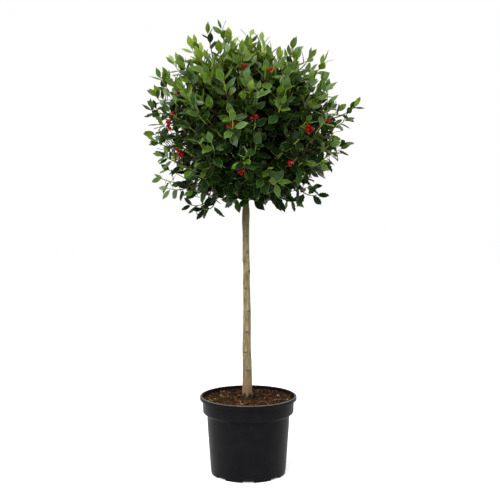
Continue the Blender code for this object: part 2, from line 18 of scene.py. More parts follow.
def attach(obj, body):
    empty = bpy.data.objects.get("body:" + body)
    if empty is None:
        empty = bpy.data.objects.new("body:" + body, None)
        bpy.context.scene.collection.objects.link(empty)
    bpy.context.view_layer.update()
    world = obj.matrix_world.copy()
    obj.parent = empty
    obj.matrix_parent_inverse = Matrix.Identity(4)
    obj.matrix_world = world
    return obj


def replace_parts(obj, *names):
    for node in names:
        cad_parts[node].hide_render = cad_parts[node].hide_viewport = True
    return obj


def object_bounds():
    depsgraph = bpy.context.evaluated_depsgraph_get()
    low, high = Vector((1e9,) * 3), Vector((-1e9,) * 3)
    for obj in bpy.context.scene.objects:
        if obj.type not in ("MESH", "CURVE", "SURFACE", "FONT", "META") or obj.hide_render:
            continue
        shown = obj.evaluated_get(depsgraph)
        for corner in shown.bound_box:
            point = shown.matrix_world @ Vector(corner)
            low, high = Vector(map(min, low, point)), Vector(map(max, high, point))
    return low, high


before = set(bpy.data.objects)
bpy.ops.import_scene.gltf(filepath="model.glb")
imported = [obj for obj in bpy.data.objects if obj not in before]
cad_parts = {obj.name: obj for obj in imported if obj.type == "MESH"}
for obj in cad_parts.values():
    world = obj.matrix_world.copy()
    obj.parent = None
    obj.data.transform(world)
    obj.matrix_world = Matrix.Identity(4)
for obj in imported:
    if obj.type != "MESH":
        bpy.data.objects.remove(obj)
solid_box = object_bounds()


# Pot
# A ten-litre nursery pot, injection moulded in black polypropylene: a thin tapering body under a collar and
# a rolled lip, with eight drain notches cut in its foot. It stands on the floor and carries all the rest.

POT_TURNS = 144
POT_HEIGHT, POT_FLOOR, POT_WALL = 0.2245, 0.0025, 0.002
FOOT_RADIUS, BODY_RADIUS, BODY_TOP = 0.1090, 0.1214, 0.168
COLLAR_RADIUS, COLLAR_FOOT = 0.1324, 0.178
NECK_RADIUS, NECK_HEIGHT = 0.1334, 0.205
LIP_RADIUS, LIP_DEPTH, LIP_WIDTH = 0.1414, 0.011, 0.0062
NOTCHES, NOTCH_WIDTH, NOTCH_TOP_WIDTH, NOTCH_HEIGHT, NOTCH_DEPTH = 8, 0.038, 0.026, 0.0098, 0.024
GROOVE, GROOVE_END, GROOVE_END_RADIUS = 0.0011, 0.140, 0.1193
# The lip's pale grey is partly real dust and partly a painted highlight along the lip's front
POT_BLACK, POT_GREY, POT_DUST_AND_HIGHLIGHT = "0B0B0E", "121214", "77716A"
POT_SHEEN, DUST_GRAIN, SCUFF_LENGTH = 0.06, 0.004, 0.03


def linear(tint):
    """The linear colour of an sRGB hex value."""
    parts = [int(tint[k:k + 2], 16) / 255 for k in (0, 2, 4)]
    return [c / 12.92 if c <= 0.04045 else ((c + 0.055) / 1.055) ** 2.4 for c in parts] + [1.0]


def add_node(tree, kind, inputs=(), stops=(), **settings):
    """Adds a node with its settings: inputs are values or links for its sockets, stops a ramp's colours."""
    made = tree.nodes.new(kind)
    for name, value in settings.items():
        setattr(made, name, value)
    for name, value in dict(inputs).items():
        if isinstance(value, bpy.types.NodeSocket):
            tree.links.new(value, made.inputs[name])
        else:
            made.inputs[name].default_value = value
    while stops and len(made.color_ramp.elements) < len(stops):
        made.color_ramp.elements.new(0.5)
    for place, (position, colour) in enumerate(stops):
        made.color_ramp.elements[place].position = position
        made.color_ramp.elements[place].color = colour
    return made


def finish_of(name, tint, roughness, **inputs):
    """A material with one shader, whose colour and gloss are set on its own sockets."""
    made = bpy.data.materials.new(name)
    made.use_nodes = True
    shader = made.node_tree.nodes["Principled BSDF"]
    shader.inputs["Base Color"].default_value = linear(tint)
    shader.inputs["Roughness"].default_value = roughness
    for socket, value in inputs.items():
        shader.inputs[socket.replace("_", " ")].default_value = value
    made.diffuse_color = linear(tint)
    return made, made.node_tree, shader


def dressed(made, colour, grain, strength, depth):
    """Gives a material's shader a colour and a relief from a grain, and hands the material back."""
    tree = made.node_tree
    shader = tree.nodes["Principled BSDF"]
    tree.links.new(colour, shader.inputs["Base Color"])
    relief = add_node(tree, "ShaderNodeBump", {"Height": grain, "Strength": strength, "Distance": depth})
    tree.links.new(relief.outputs[0], shader.inputs["Normal"])
    return made


def moulded_polypropylene():
    """Black polypropylene as it leaves the mould: satin, a little greyer in patches, dusty and with a painted
    highlight on the lip where it faces up, less towards the back.
    """
    made, tree, shader = finish_of("moulded_polypropylene", POT_BLACK, 0.42, IOR=1.49, Specular_IOR_Level=POT_SHEEN)
    place = add_node(tree, "ShaderNodeTexCoord").outputs["Object"]
    patches = add_node(tree, "ShaderNodeTexNoise", {"Vector": place, "Scale": 1 / SCUFF_LENGTH, "Detail": 4.0})
    scuffs = add_node(tree, "ShaderNodeTexNoise", {"Vector": place, "Scale": 1 / DUST_GRAIN, "Detail": 3.0})
    body = add_node(tree, "ShaderNodeValToRGB", {"Fac": patches.outputs["Fac"]},
                    [(0.35, linear(POT_BLACK)), (0.75, linear(POT_GREY))])
    facing = add_node(tree, "ShaderNodeSeparateXYZ",
                      {0: add_node(tree, "ShaderNodeNewGeometry").outputs["Normal"]})
    height = add_node(tree, "ShaderNodeSeparateXYZ", {0: place})
    # Dusty grains and a painted highlight lie along the lip, where it faces up, and less towards the back
    dust_and_highlight = None
    for share in ((height.outputs["Z"], POT_HEIGHT - 0.004, POT_HEIGHT - 0.001), (facing.outputs["Z"], 0.3, 0.9),
                  (height.outputs["Y"], 0.07, -0.07, 0.12, 1.0), (scuffs.outputs["Fac"], 0.3, 0.65, 0.15, 0.9)):
        part = add_node(tree, "ShaderNodeMapRange", dict(enumerate(share)))
        if dust_and_highlight is not None:
            part = add_node(tree, "ShaderNodeMath", {0: dust_and_highlight, 1: part.outputs[0]}, operation="MULTIPLY")
        dust_and_highlight = part.outputs[0]
    colour = add_node(tree, "ShaderNodeMix", {0: dust_and_highlight, 6: body.outputs["Color"], 7: linear(POT_DUST_AND_HIGHLIGHT)},
                      data_type="RGBA")
    gloss = add_node(tree, "ShaderNodeMapRange", {0: scuffs.outputs["Fac"], 3: 0.36, 4: 0.52})
    tree.links.new(gloss.outputs[0], shader.inputs["Roughness"])
    return dressed(made, colour.outputs[2], scuffs.outputs["Fac"], 0.05, 0.0002)


def rounded(corners, steps=4):
    """A profile of radius and height, each corner of it rounded off by its third number."""
    points = []
    for before, (radius, height, size), after in zip(corners[-1:] + corners, corners, corners[1:] + corners[:1]):
        corner = Vector((radius, height))
        start = corner + (Vector(before[:2]) - corner).normalized() * size
        end = corner + (Vector(after[:2]) - corner).normalized() * size
        for k in range(steps + 1 if size else 1):
            points.append(start.lerp(corner, k / steps).lerp(corner.lerp(end, k / steps), k / steps))
    return points


def turned(name, profile, turns):
    """A mesh turned about Z from a profile whose ends lie on the axis."""
    shape = bmesh.new()
    corners = [shape.verts.new((radius, 0.0, height)) for radius, height in profile]
    edges = [shape.edges.new(pair) for pair in zip(corners, corners[1:])]
    bmesh.ops.spin(shape, geom=corners + edges, axis=(0, 0, 1), cent=(0, 0, 0), angle=math.tau, steps=turns)
    bmesh.ops.remove_doubles(shape, verts=shape.verts, dist=0.00001)
    bmesh.ops.recalc_face_normals(shape, faces=shape.faces)
    mesh = bpy.data.meshes.new(name)
    shape.to_mesh(mesh)
    shape.free()
    return mesh


def smoothed(mesh, degrees):
    """Shades a mesh smooth, apart from corners sharper than an angle."""
    mesh.shade_smooth()
    mesh.set_sharp_from_angle(angle=math.radians(degrees))
    return mesh


def placed(name, data):
    """An object with its data, put in the scene."""
    made = bpy.data.objects.new(name, data)
    bpy.context.scene.collection.objects.link(made)
    return made


def add_piece(name, mesh, slot, *materials):
    """Adds a mesh, with its materials, as a piece of the object fixed to its root; slot is not used."""
    piece = placed(name, mesh)
    for made in materials:
        mesh.materials.append(made)
    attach(piece, "root")
    return piece


def wall_at(height):
    """The radius of the pot's inside at a height."""
    heights = (POT_FLOOR, BODY_TOP, COLLAR_FOOT, NECK_HEIGHT, POT_HEIGHT)
    radii = (FOOT_RADIUS, BODY_RADIUS, COLLAR_RADIUS, NECK_RADIUS, LIP_RADIUS - LIP_WIDTH + POT_WALL)
    return float(np.interp(height, heights, radii)) - POT_WALL


def make_pot():
    profile = rounded([
        (0.0, POT_FLOOR, 0), (FOOT_RADIUS - POT_WALL, POT_FLOOR, 0.002),
        (BODY_RADIUS - POT_WALL, BODY_TOP, 0.003), (COLLAR_RADIUS - POT_WALL, COLLAR_FOOT, 0.003),
        (NECK_RADIUS - POT_WALL, NECK_HEIGHT, 0.002), (LIP_RADIUS - LIP_WIDTH, POT_HEIGHT, 0.0018),
        (LIP_RADIUS, POT_HEIGHT, 0.0042), (LIP_RADIUS, POT_HEIGHT - LIP_DEPTH, 0.0012),
        (LIP_RADIUS - 0.0016, POT_HEIGHT - LIP_DEPTH, 0.0003),
        (LIP_RADIUS - 0.0024, POT_HEIGHT - LIP_DEPTH + 0.003, 0.0003),
        (NECK_RADIUS + 0.0004, POT_HEIGHT - LIP_DEPTH + 0.003, 0.0005), (NECK_RADIUS, NECK_HEIGHT, 0.001),
        (COLLAR_RADIUS, COLLAR_FOOT, 0.0012), (COLLAR_RADIUS - 0.0022, COLLAR_FOOT - 0.0022, 0.001),
        (BODY_RADIUS - GROOVE, BODY_TOP + GROOVE, 0.0003), (BODY_RADIUS - GROOVE, BODY_TOP - GROOVE, 0.0005),
        (GROOVE_END_RADIUS, GROOVE_END, 0.010), (FOOT_RADIUS + 0.0008, 0.010, 0.0005),
        (FOOT_RADIUS, 0.009, 0.0005), (FOOT_RADIUS - 0.0003, 0.0, 0.0015), (0.0, 0.0, 0),
    ])
    blank = placed("pot_blank", turned("pot_blank", profile, POT_TURNS))
    tool = bmesh.new()
    for index in range(NOTCHES):
        turn = math.tau * index / NOTCHES - math.pi / 2
        notch = bmesh.ops.create_cube(tool, size=1.0)["verts"]
        bmesh.ops.scale(tool, vec=(2 * NOTCH_DEPTH, NOTCH_WIDTH, 2 * NOTCH_HEIGHT), verts=notch)
        for vert in notch:
            if vert.co.z > 0:
                vert.co.y *= NOTCH_TOP_WIDTH / NOTCH_WIDTH
        bmesh.ops.translate(tool, vec=(FOOT_RADIUS, 0, 0), verts=notch)
        way = Vector((1, 0, 0)).rotation_difference(Vector((math.cos(turn), math.sin(turn), 0)))
        bmesh.ops.rotate(tool, cent=(0, 0, 0), matrix=way.to_matrix(), verts=notch)
    tool_mesh = bpy.data.meshes.new("notch_tool")
    tool.to_mesh(tool_mesh)
    tool.free()
    cutter = placed("notch_tool", tool_mesh)
    cut = blank.modifiers.new("drain notches", "BOOLEAN")
    cut.operation, cut.object = "DIFFERENCE", cutter
    mesh = bpy.data.meshes.new_from_object(blank.evaluated_get(bpy.context.evaluated_depsgraph_get()))
    for item in (blank, cutter):
        bpy.data.objects.remove(item, do_unlink=True)
    return add_piece("nursery_pot", smoothed(mesh, 40), "pot", moulded_polypropylene())


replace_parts(make_pot(), "pot")


# Compost
# Composted bark with coir and straw, filled to a finger's width below the rim. The bed is dark and lumpy,
# and on it lie chips of bark and torn fibres, each kind in its own brown.

COMPOST_TOP = 0.2115
BED_RINGS, BED_TURNS, BED_RISE, BED_RELIEF = 46, 150, 0.0015, 0.0024
CHIPS, FIBRES = 1700, 1100
CHIP_LENGTHS, FIBRE_LENGTHS, FIBRE_RADII = (0.003, 0.018), (0.010, 0.038), (0.00022, 0.0006)
CHIP_WIDTHS, CHIP_THICKNESSES = (0.12, 0.3), (0.05, 0.14)
STRAW_EVERY, STRAW_RADIUS = 75, 0.0006
BED_BROWNS, DAMP_BROWN = ("070403", "22150A"), "0C0806"
BED_DIP, BED_DIP_REACH, BED_JITTER, WALL_GAP = 0.0042, 0.026, 0.0007, 0.0004
CHIP_FINISHES = (
    ("dark_bark_chip", "201308", "0D0704"), ("bark_chip", "4A2E14", "241507"),
    ("coir_fibre", "7E4A16", "4C2A0B"), ("dry_bark_chip", "7D6440", "4A3920"), ("straw", "BCA87E", "8C754A"),
)
CHIP_SHARES = (0.42, 0.70, 0.90, 0.97, 1.0)
CHIP_GRAIN = 0.0025


def grained(name, light, dark, grain, roughness=0.9, height=0.0004):
    """A dry, matt stuff of two tones in a fibrous grain of a real size."""
    made, tree, _ = finish_of(name, light, roughness, Specular_IOR_Level=0.15)
    place = add_node(tree, "ShaderNodeTexCoord").outputs["Object"]
    noise = add_node(tree, "ShaderNodeTexNoise", {"Vector": place, "Scale": 1 / grain, "Detail": 4.0})
    tones = add_node(tree, "ShaderNodeValToRGB", {"Fac": noise.outputs["Fac"]},
                     [(0.35, linear(dark)), (0.65, linear(light))])
    return dressed(made, tones.outputs["Color"], noise.outputs["Fac"], 0.6, height)


def mesh_of(name, points, faces, tints=None):
    """A mesh from lists of points and faces, with a material index for each face."""
    mesh = bpy.data.meshes.new(name)
    mesh.from_pydata(np.asarray(points).tolist(), [], faces if isinstance(faces, list) else faces.tolist())
    if tints is not None:
        mesh.polygons.foreach_set("material_index", np.asarray(tints, dtype=np.int32))
    mesh.update()
    return mesh


def bed_height(x, y):
    """The lumps of the compost's surface, and the dip where it was watered in round the stem."""
    dip = BED_DIP * math.exp(-(x * x + y * y) / BED_DIP_REACH**2)
    lumps = math.sin(x * 210 + 1.3) * math.cos(y * 187 + 0.4) + math.sin(x * 431 - y * 390) * 0.6
    lumps += math.sin(x * 905 + y * 700 + 2.0) * 0.35
    return COMPOST_TOP + BED_RISE - dip + BED_RELIEF * lumps / 1.95


def make_compost():
    draw = random.Random(31)
    turns = [math.tau * k / BED_TURNS for k in range(BED_TURNS)]
    edge = wall_at(COMPOST_TOP) - WALL_GAP
    side = [COMPOST_TOP - 0.02, COLLAR_FOOT, BODY_TOP, POT_FLOOR + 0.0005]
    spans = [(edge * ring / BED_RINGS, None) for ring in range(1, BED_RINGS + 1)]
    spans += [(wall_at(height) - WALL_GAP, height) for height in side]
    points, faces = [(0.0, 0.0, bed_height(0, 0))], []
    for radius, height in spans:
        for turn in turns:
            x, y = radius * math.cos(turn), radius * math.sin(turn)
            points.append((x, y, height or bed_height(x, y) + draw.uniform(-BED_JITTER, BED_JITTER)))
    last = len(points) - BED_TURNS
    points.append((0.0, 0.0, side[-1]))
    for k in range(BED_TURNS):
        after = (k + 1) % BED_TURNS
        faces.append((0, 1 + k, 1 + after))
        for row in range(len(spans) - 1):
            a, b = 1 + row * BED_TURNS + k, 1 + row * BED_TURNS + after
            faces.append((a, a + BED_TURNS, b + BED_TURNS, b))
        faces.append((len(points) - 1, last + after, last + k))
    tints = ([0] * BED_RINGS + [1] * (len(side) + 1)) * BED_TURNS
    mesh = smoothed(mesh_of("compost_bed", points, faces, tints), 60)
    return add_piece("compost_bed", mesh, "compost", grained("peat_and_bark_fines", *BED_BROWNS[::-1], 0.003),
                     finish_of("damp_compost", DAMP_BROWN, 0.95)[0])


def rings_of(points, radii, sides):
    """The rings of a round limb: at each point, a ring square to its way and turned with it."""
    points = [Vector(point) for point in points]
    rings = []
    across = None
    for index, (point, radius) in enumerate(zip(points, radii)):
        way = points[min(index + 1, len(points) - 1)] - points[max(index - 1, 0)]
        way.normalize()
        if across is None:
            across = way.orthogonal()
        across = (across - way * across.dot(way)).normalized()
        other = way.cross(across)
        rings.append([point + (across * math.cos(math.tau * k / sides) + other * math.sin(math.tau * k / sides))
                      * radius for k in range(sides)])
    return rings


class Heap:
    """Points and faces of many small pieces that are joined into one mesh."""

    def __init__(self):
        self.points, self.faces, self.tints = [], [], []

    def add(self, points, faces, tint=0):
        first = len(self.points)
        self.points += [tuple(point) for point in points]
        self.faces += [tuple(first + corner for corner in face) for face in faces]
        self.tints += tint if isinstance(tint, list) else [tint] * len(faces)

    def add_rings(self, start, rings, end, tints=0):
        """Adds a limb closed by a point at each end. Tints may name one material for each length of it."""
        sides = len(rings[0])
        corners = [start] + [corner for ring in rings for corner in ring] + [end]
        last = len(corners) - 1
        tints = tints if isinstance(tints, list) else [tints] * (len(rings) - 1)
        faces = []
        for k in range(sides):
            after = (k + 1) % sides
            faces += [(0, 1 + after, 1 + k), (last, last - sides + k, last - sides + after)]
            for row in range(len(rings) - 1):
                a, b = 1 + row * sides + k, 1 + row * sides + after
                faces.append((a, b, b + sides, a + sides))
        self.add(corners, faces, ([tints[0], tints[-1]] + tints) * sides)

    def add_limb(self, points, radii, sides, tints=0):
        self.add_rings(points[0], rings_of(points, radii, sides), points[-1], tints)

    def mesh(self, name, degrees):
        return smoothed(mesh_of(name, self.points, self.faces, self.tints), degrees)


def dealt(draw):
    """A chip's kind, as often as its share says."""
    value = draw.random()
    return next(k for k, share in enumerate(CHIP_SHARES) if value <= share)


def make_litter():
    """Chips and fibres strewn over the bed, clear of the stem and inside the wall."""
    draw = random.Random(7)
    heap = Heap()
    edge = wall_at(COMPOST_TOP) - 0.0015
    box = [(x, y, z) for z in (-1, 1) for y in (-1, 1) for x in (-1, 1)]
    sides = [(0, 2, 3, 1), (4, 5, 7, 6), (0, 1, 5, 4), (2, 6, 7, 3), (0, 4, 6, 2), (1, 3, 7, 5)]
    for _ in range(CHIPS):
        radius, turn = edge * math.sqrt(draw.uniform(0.02, 0.98)), draw.uniform(0, math.tau)
        length = draw.uniform(*CHIP_LENGTHS) * draw.uniform(0.5, 1.0)
        radius = min(radius, edge - length / 2)
        x, y = radius * math.cos(turn), radius * math.sin(turn)
        lie, tip = draw.uniform(0, math.tau), draw.uniform(-0.5, 0.5)
        size = (length / 2, length * draw.uniform(*CHIP_WIDTHS), length * draw.uniform(*CHIP_THICKNESSES))
        way = Vector((math.cos(lie) * math.cos(tip), math.sin(lie) * math.cos(tip), math.sin(tip)))
        across = Vector((-math.sin(lie), math.cos(lie), draw.uniform(-0.4, 0.4))).normalized()
        up = way.cross(across)
        centre = Vector((x, y, bed_height(x, y) + draw.uniform(0.0002, 0.0022)))
        corners = [centre + way * size[0] * i * draw.uniform(0.55, 1) + across * size[1] * j * draw.uniform(0.5, 1)
                   + up * size[2] * k * draw.uniform(0.5, 1) for i, j, k in box]
        heap.add(corners, sides, dealt(draw))
    for index in range(FIBRES):
        length = draw.uniform(*FIBRE_LENGTHS)
        radius, turn = (edge - length / 2) * math.sqrt(draw.uniform(0.03, 1)), draw.uniform(0, math.tau)
        x, y = radius * math.cos(turn), radius * math.sin(turn)
        lie, bend = draw.uniform(0, math.tau), draw.uniform(-0.6, 0.6)
        lift, thick = draw.uniform(0.0008, 0.0035), draw.uniform(*FIBRE_RADII)
        route = []
        for k in range(6):
            share = k / 5 - 0.5
            px = x + math.cos(lie + bend * share) * length * share
            py = y + math.sin(lie + bend * share) * length * share
            route.append(Vector((px, py, bed_height(px, py) + lift * (1.2 - 2 * abs(share)))))
        kind = dealt(draw)
        if index % STRAW_EVERY == 0:
            kind, thick = 4, STRAW_RADIUS
        heap.add_limb(route, [thick * (1.2 - abs(k / 5 - 0.5)) for k in range(6)], 4, max(kind, 1))
    made = [grained(name, light, dark, CHIP_GRAIN) for name, light, dark in CHIP_FINISHES]
    return add_piece("bark_and_fibre_litter", heap.mesh("litter", 30), "compost", *made)


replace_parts(make_compost(), "compost")
make_litter()


# Stem and boughs
# The stem is one young trunk, cleared of its side shoots, whose scars still show in smooth olive-grey bark.
# It leans and waves a little, flares at the root, and runs on up through the head with a bough to each mass.

GAP = 0.0003
UP = Vector((0.0, 0.0, 1.0))
TRUNK_FOOT, TRUNK_TIP = COMPOST_TOP + GAP, 1.080
TRUNK_X, TRUNK_LEAN = -0.0025, -0.009
WAVE, WAVE_CREST, WAVE_LENGTH, DEPTH_WAVE_LENGTH = 0.0014, 0.475, 0.25, 0.40
STEM_RADIUS, STEM_TAPER, STEM_TAPER_TOP = 0.0092, 0.0052, 0.68
FLARE, FLARE_HEIGHT = 0.0034, 0.014
SWELL, SWELL_HEIGHT, SWELL_REACH = 0.0014, 0.745, 0.03
LEADER_FOOT, LEADER_TIP_RADIUS = 0.77, 0.0045
BOUGH_ROOT_RADIUS, BOUGH_TIP_RADIUS = 0.0058, 0.0042
BOUGH_COLLAR, BOUGH_REACH, STEM_STRAIGHT, STEM_TIP_SHARE = 0.008, 0.020, 0.03, 0.6
RINGS = {
    # ring: masses, elevation, first azimuth, root heights from and to, foot out and up, stem end out and up
    "low": (5, -42, 54, 0.800, 0.850, 0.095, 0.866, 0.150, 0.874),
    "middle": (7, 4, 0, 0.895, 0.955, 0.100, 1.008, 0.172, 1.040),
    "high": (5, 44, 18, 0.985, 1.030, 0.062, 1.092, 0.112, 1.165),
}
TOP_STEM_END = 1.185
HEAD_CENTRE = Vector((0.005, 0.0, 1.030))
TRUNK_RINGS, TRUNK_SIDES, BOUGH_RINGS, BOUGH_SIDES = 420, 52, 26, 14
# Scars of side shoots: height, direction in degrees, how far they stand out, and how tall they are
SCARS = (
    (0.690, -78, 0.0012, 0.006), (0.643, -58, 0.0014, 0.006), (0.621, -158, 0.0017, 0.006),
    (0.587, -36, 0.0017, 0.006), (0.537, -106, 0.0010, 0.005), (0.471, -62, 0.0012, 0.006),
    (0.455, 150, 0.0012, 0.006), (0.411, -82, 0.0013, 0.006), (0.352, -108, 0.0012, 0.006),
    (0.325, 70, 0.0015, 0.006), (0.299, -84, 0.0010, 0.005), (0.715, 110, 0.0012, 0.006),
    (0.560, 90, 0.0013, 0.006), (0.430, 100, 0.0014, 0.007), (0.262, 130, 0.0013, 0.006),
)
SCAR_SPREAD, SCAR_WIDTH, SCAR_PIT = 58, 0.55, 0.9
BARK_DEPTH, FLUTE, FINE_FLUTE, WRINKLE = 0.0004, 0.00022, 0.00016, 0.00012
# The stem's slight crooks: how far it steps aside at each height
CROOKS = (
    (0.21, 0.235, 0.265, 0.295, 0.323, 0.36, 0.50, 0.56, 0.59, 0.61, 0.64, 0.666, 0.73, 0.77),
    (-0.0032, -0.0024, -0.0006, 0.0006, 0.0015, 0.0004, 0.0,
     0.0011, 0.0027, 0.0020, 0.0003, -0.0004, -0.0020, 0.0),
)
BARK_TONES = ("5A4F35", "7A6E50", "9A8D68")
# One dark colour serves the bark's random flecks and the painted shade under the head
BARK_FLECKS_AND_PAINTED_SHADE, BARK_SOIL, BARK_BUFF, BARK_ALGAE = "372F12", "140D06", "93785A", "5F5C2A"
BARK_SCAR, STREAK_WIDTH, FLECK_SIZE = "5A4E30", 0.006, 0.0022
TRUNK_SUNK, BOUGH_SUNK, COLLAR_SWELL = 0.008, 0.003, 1.35


def trunk_axis(height):
    wave = WAVE * math.cos(math.tau * (height - WAVE_CREST) / WAVE_LENGTH)
    depth = WAVE * math.sin(math.tau * (height - WAVE_CREST) / DEPTH_WAVE_LENGTH)
    return Vector((TRUNK_X + TRUNK_LEAN * (height - COMPOST_TOP) + wave, depth, height))


def trunk_radius(height):
    if height > LEADER_FOOT:
        share = (height - LEADER_FOOT) / (TRUNK_TIP - LEADER_FOOT)
        return STEM_RADIUS + (LEADER_TIP_RADIUS - STEM_RADIUS) * share
    left = max(0.0, (STEM_TAPER_TOP - height) / (STEM_TAPER_TOP - COMPOST_TOP))
    flare = FLARE * math.exp((TRUNK_FOOT - height) / FLARE_HEIGHT)
    swell = SWELL * math.exp(-(((height - SWELL_HEIGHT) / SWELL_REACH) ** 2))
    return STEM_RADIUS + STEM_TAPER * left**1.5 + flare + swell


def bark_relief(height, turn):
    """How far the bark stands in or out: shallow flutes, ring wrinkles and the scars, each with its pit."""
    relief = FLUTE * math.sin(5 * turn + 9 * height) + FINE_FLUTE * math.sin(11 * turn - 31 * height + 1.0)
    relief += WRINKLE * math.sin(2100 * height + 3 * math.sin(3 * turn)) * math.sin(2 * turn + 40 * height)
    for level, side, rise, tall in SCARS:
        if abs(height - level) < 3 * tall:
            off = math.atan2(math.sin(turn - math.radians(side)), math.cos(turn - math.radians(side)))
            far = ((height - level) / tall) ** 2 + (off / SCAR_WIDTH) ** 2
            relief += rise * math.exp(-far) - SCAR_PIT * rise * math.exp(-far * 9)
    return relief


def along(points, share):
    """The point of a Bezier curve at a share of its way."""
    points = list(points)
    while len(points) > 1:
        points = [a.lerp(b, share) for a, b in zip(points, points[1:])]
    return points[0]


def taper(start, end, steps):
    return [start + (end - start) * k / steps for k in range(steps + 1)]


def around(azimuth, elevation):
    """The unit vector at an azimuth and an elevation, in radians."""
    flat = math.cos(elevation)
    return Vector((flat * math.cos(azimuth), flat * math.sin(azimuth), math.sin(elevation)))


class Mass:
    """One mass of foliage: its direction from the head's centre, its bough's handles and its own stem's."""

    def __init__(self, ring, name, direction, bough, stem):
        self.ring, self.name, self.direction, self.bough, self.stem = ring, name, direction, bough, stem
        self.shoots = []


def plan_masses():
    """One mass over the trunk's tip, then the rings' masses, each with a bough to its foot."""
    centre = HEAD_CENTRE.xy.to_3d()
    tip = trunk_axis(TRUNK_TIP)
    masses = [Mass("top", "foliage_top", UP.copy(), None,
                   [tip, tip + UP * STEM_STRAIGHT, centre + UP * TOP_STEM_END])]
    for ring, (count, elevation, first, low, high, foot_out, foot_up, end_out, end_up) in RINGS.items():
        for index in range(count):
            azimuth = math.radians(first + 360 * index / count)
            axis = trunk_axis(low + (high - low) * ((index * 0.618) % 1.0))
            flat = around(azimuth, 0.0)
            foot = centre + flat * foot_out + UP * foot_up
            end = centre + flat * end_out + UP * end_up
            out, way = (foot - axis).xy.normalized().to_3d(), (end - foot).normalized()
            start = axis + out * (trunk_radius(axis.z) + 2 * GAP + BOUGH_COLLAR)
            near = foot - way * BOUGH_COLLAR
            bough = [start - out * BOUGH_COLLAR, start, start + out * BOUGH_REACH,
                     near - way * BOUGH_REACH, near, foot]
            masses.append(Mass(ring, f"foliage_{ring}_{index + 1}", around(azimuth, math.radians(elevation)),
                               bough, [foot, foot + way * STEM_STRAIGHT, end]))
    return masses


def smooth_bark():
    """Young holly bark: smooth, streaked olive grey with dark flecks, darkened by painted shade under the head,
    stained at the foot.
    """
    made, tree, _ = finish_of("smooth_holly_bark", BARK_TONES[1], 0.78, Specular_IOR_Level=0.25)
    place = add_node(tree, "ShaderNodeTexCoord").outputs["Object"]
    height = add_node(tree, "ShaderNodeSeparateXYZ", {0: place}).outputs["Z"]
    drawn_out = add_node(tree, "ShaderNodeMapping", {"Vector": place, "Scale": (1.0, 1.0, 0.22)}).outputs[0]
    streaks = add_node(tree, "ShaderNodeTexNoise", {"Vector": drawn_out, "Scale": 1 / STREAK_WIDTH,
                                                    "Detail": 5.0, "Roughness": 0.6}).outputs["Fac"]
    flecks = add_node(tree, "ShaderNodeTexNoise",
                      {"Vector": place, "Scale": 1 / FLECK_SIZE, "Detail": 3.0}).outputs["Fac"]
    # Dark flecks at random, and painted shade that darkens the stem's upper part and the boughs under the head
    speck, shaded, low, damp, patch, ragged = (
        add_node(tree, "ShaderNodeMapRange", dict(enumerate(share))).outputs[0] for share in (
            (flecks, 0.60, 0.72, 0.0, 0.5), (height, 0.65, 0.76, 0.0, 0.8), (height, 0.30, 0.262, 0.0, 0.75),
            (height, 0.262, 0.235, 0.0, 0.9), (streaks, 0.48, 0.60), (streaks, 0.3, 0.7, -0.010, 0.012)))
    algae = add_node(tree, "ShaderNodeMath", {0: damp, 1: patch}, operation="MULTIPLY").outputs[0]
    splash = add_node(tree, "ShaderNodeMath", {0: height, 1: ragged}, operation="SUBTRACT").outputs[0]
    soil = add_node(tree, "ShaderNodeMapRange", {0: splash, 1: 0.233, 2: 0.224, 4: 0.9}).outputs[0]
    colour = add_node(tree, "ShaderNodeValToRGB", {"Fac": streaks},
                      list(zip((0.30, 0.50, 0.72), map(linear, BARK_TONES)))).outputs["Color"]
    for share, tint in ((speck, BARK_FLECKS_AND_PAINTED_SHADE), (shaded, BARK_FLECKS_AND_PAINTED_SHADE), (low, BARK_BUFF), (algae, BARK_ALGAE),
                        (soil, BARK_SOIL)):
        colour = add_node(tree, "ShaderNodeMix", {0: share, 6: colour, 7: linear(tint)}, data_type="RGBA").outputs[2]
    return dressed(made, colour, streaks, 0.5, 0.0006)


def make_bark(masses):
    heap = Heap()
    heights = taper(TRUNK_FOOT - TRUNK_SUNK, TRUNK_TIP, TRUNK_RINGS)
    turns = [math.tau * k / TRUNK_SIDES for k in range(TRUNK_SIDES)]
    rings = []
    for height in heights:
        axis, radius = trunk_axis(height), trunk_radius(height) + BARK_DEPTH
        axis.x += float(np.interp(height, *CROOKS))
        rings.append([axis + around(turn, 0) * (radius + bark_relief(height, turn)) for turn in turns])
    heap.add_rings(trunk_axis(heights[0]), rings, trunk_axis(TRUNK_TIP))
    for place, face in enumerate(heap.faces):
        corners = [Vector(heap.points[k]) for k in face]
        x, y, height = sum(corners, Vector()) / len(face) - trunk_axis(corners[0].z).xy.to_3d()
        for level, side, _, tall in SCARS:
            off = (math.degrees(math.atan2(y, x)) - side + 180) % 360 - 180
            if ((height - level) / tall) ** 2 + (off / SCAR_SPREAD) ** 2 < 0.25:
                heap.tints[place] = 1
    for mass in masses:
        if mass.bough:
            route = [mass.bough[0] - (mass.bough[1] - mass.bough[0]).normalized() * BOUGH_SUNK]
            route += [along(mass.bough[1:5], share) for share in taper(0, 1, BOUGH_RINGS)] + [mass.bough[5]]
            radii = taper(BOUGH_ROOT_RADIUS, BOUGH_TIP_RADIUS, len(route) - 1)
            heap.add_limb(route, [BOUGH_ROOT_RADIUS * COLLAR_SWELL] + radii[1:], BOUGH_SIDES)
    scar = finish_of("healed_bark_scar", BARK_SCAR, 0.85, Specular_IOR_Level=0.2)[0]
    return add_piece("bark", heap.mesh("bark", 45), "bark", smooth_bark(), scar), heap


masses = plan_masses()
bark, bark_heap = make_bark(masses)
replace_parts(bark, "trunk", *[mass.name.replace("foliage", "bough") for mass in masses if mass.bough])


# Twigs
# Each mass branches from its own stem by one rule: leading twigs run out to the head's outline, and finer
# shoots leave them near their ends. Old twigs are brown, and this year's shoots are yellow green.

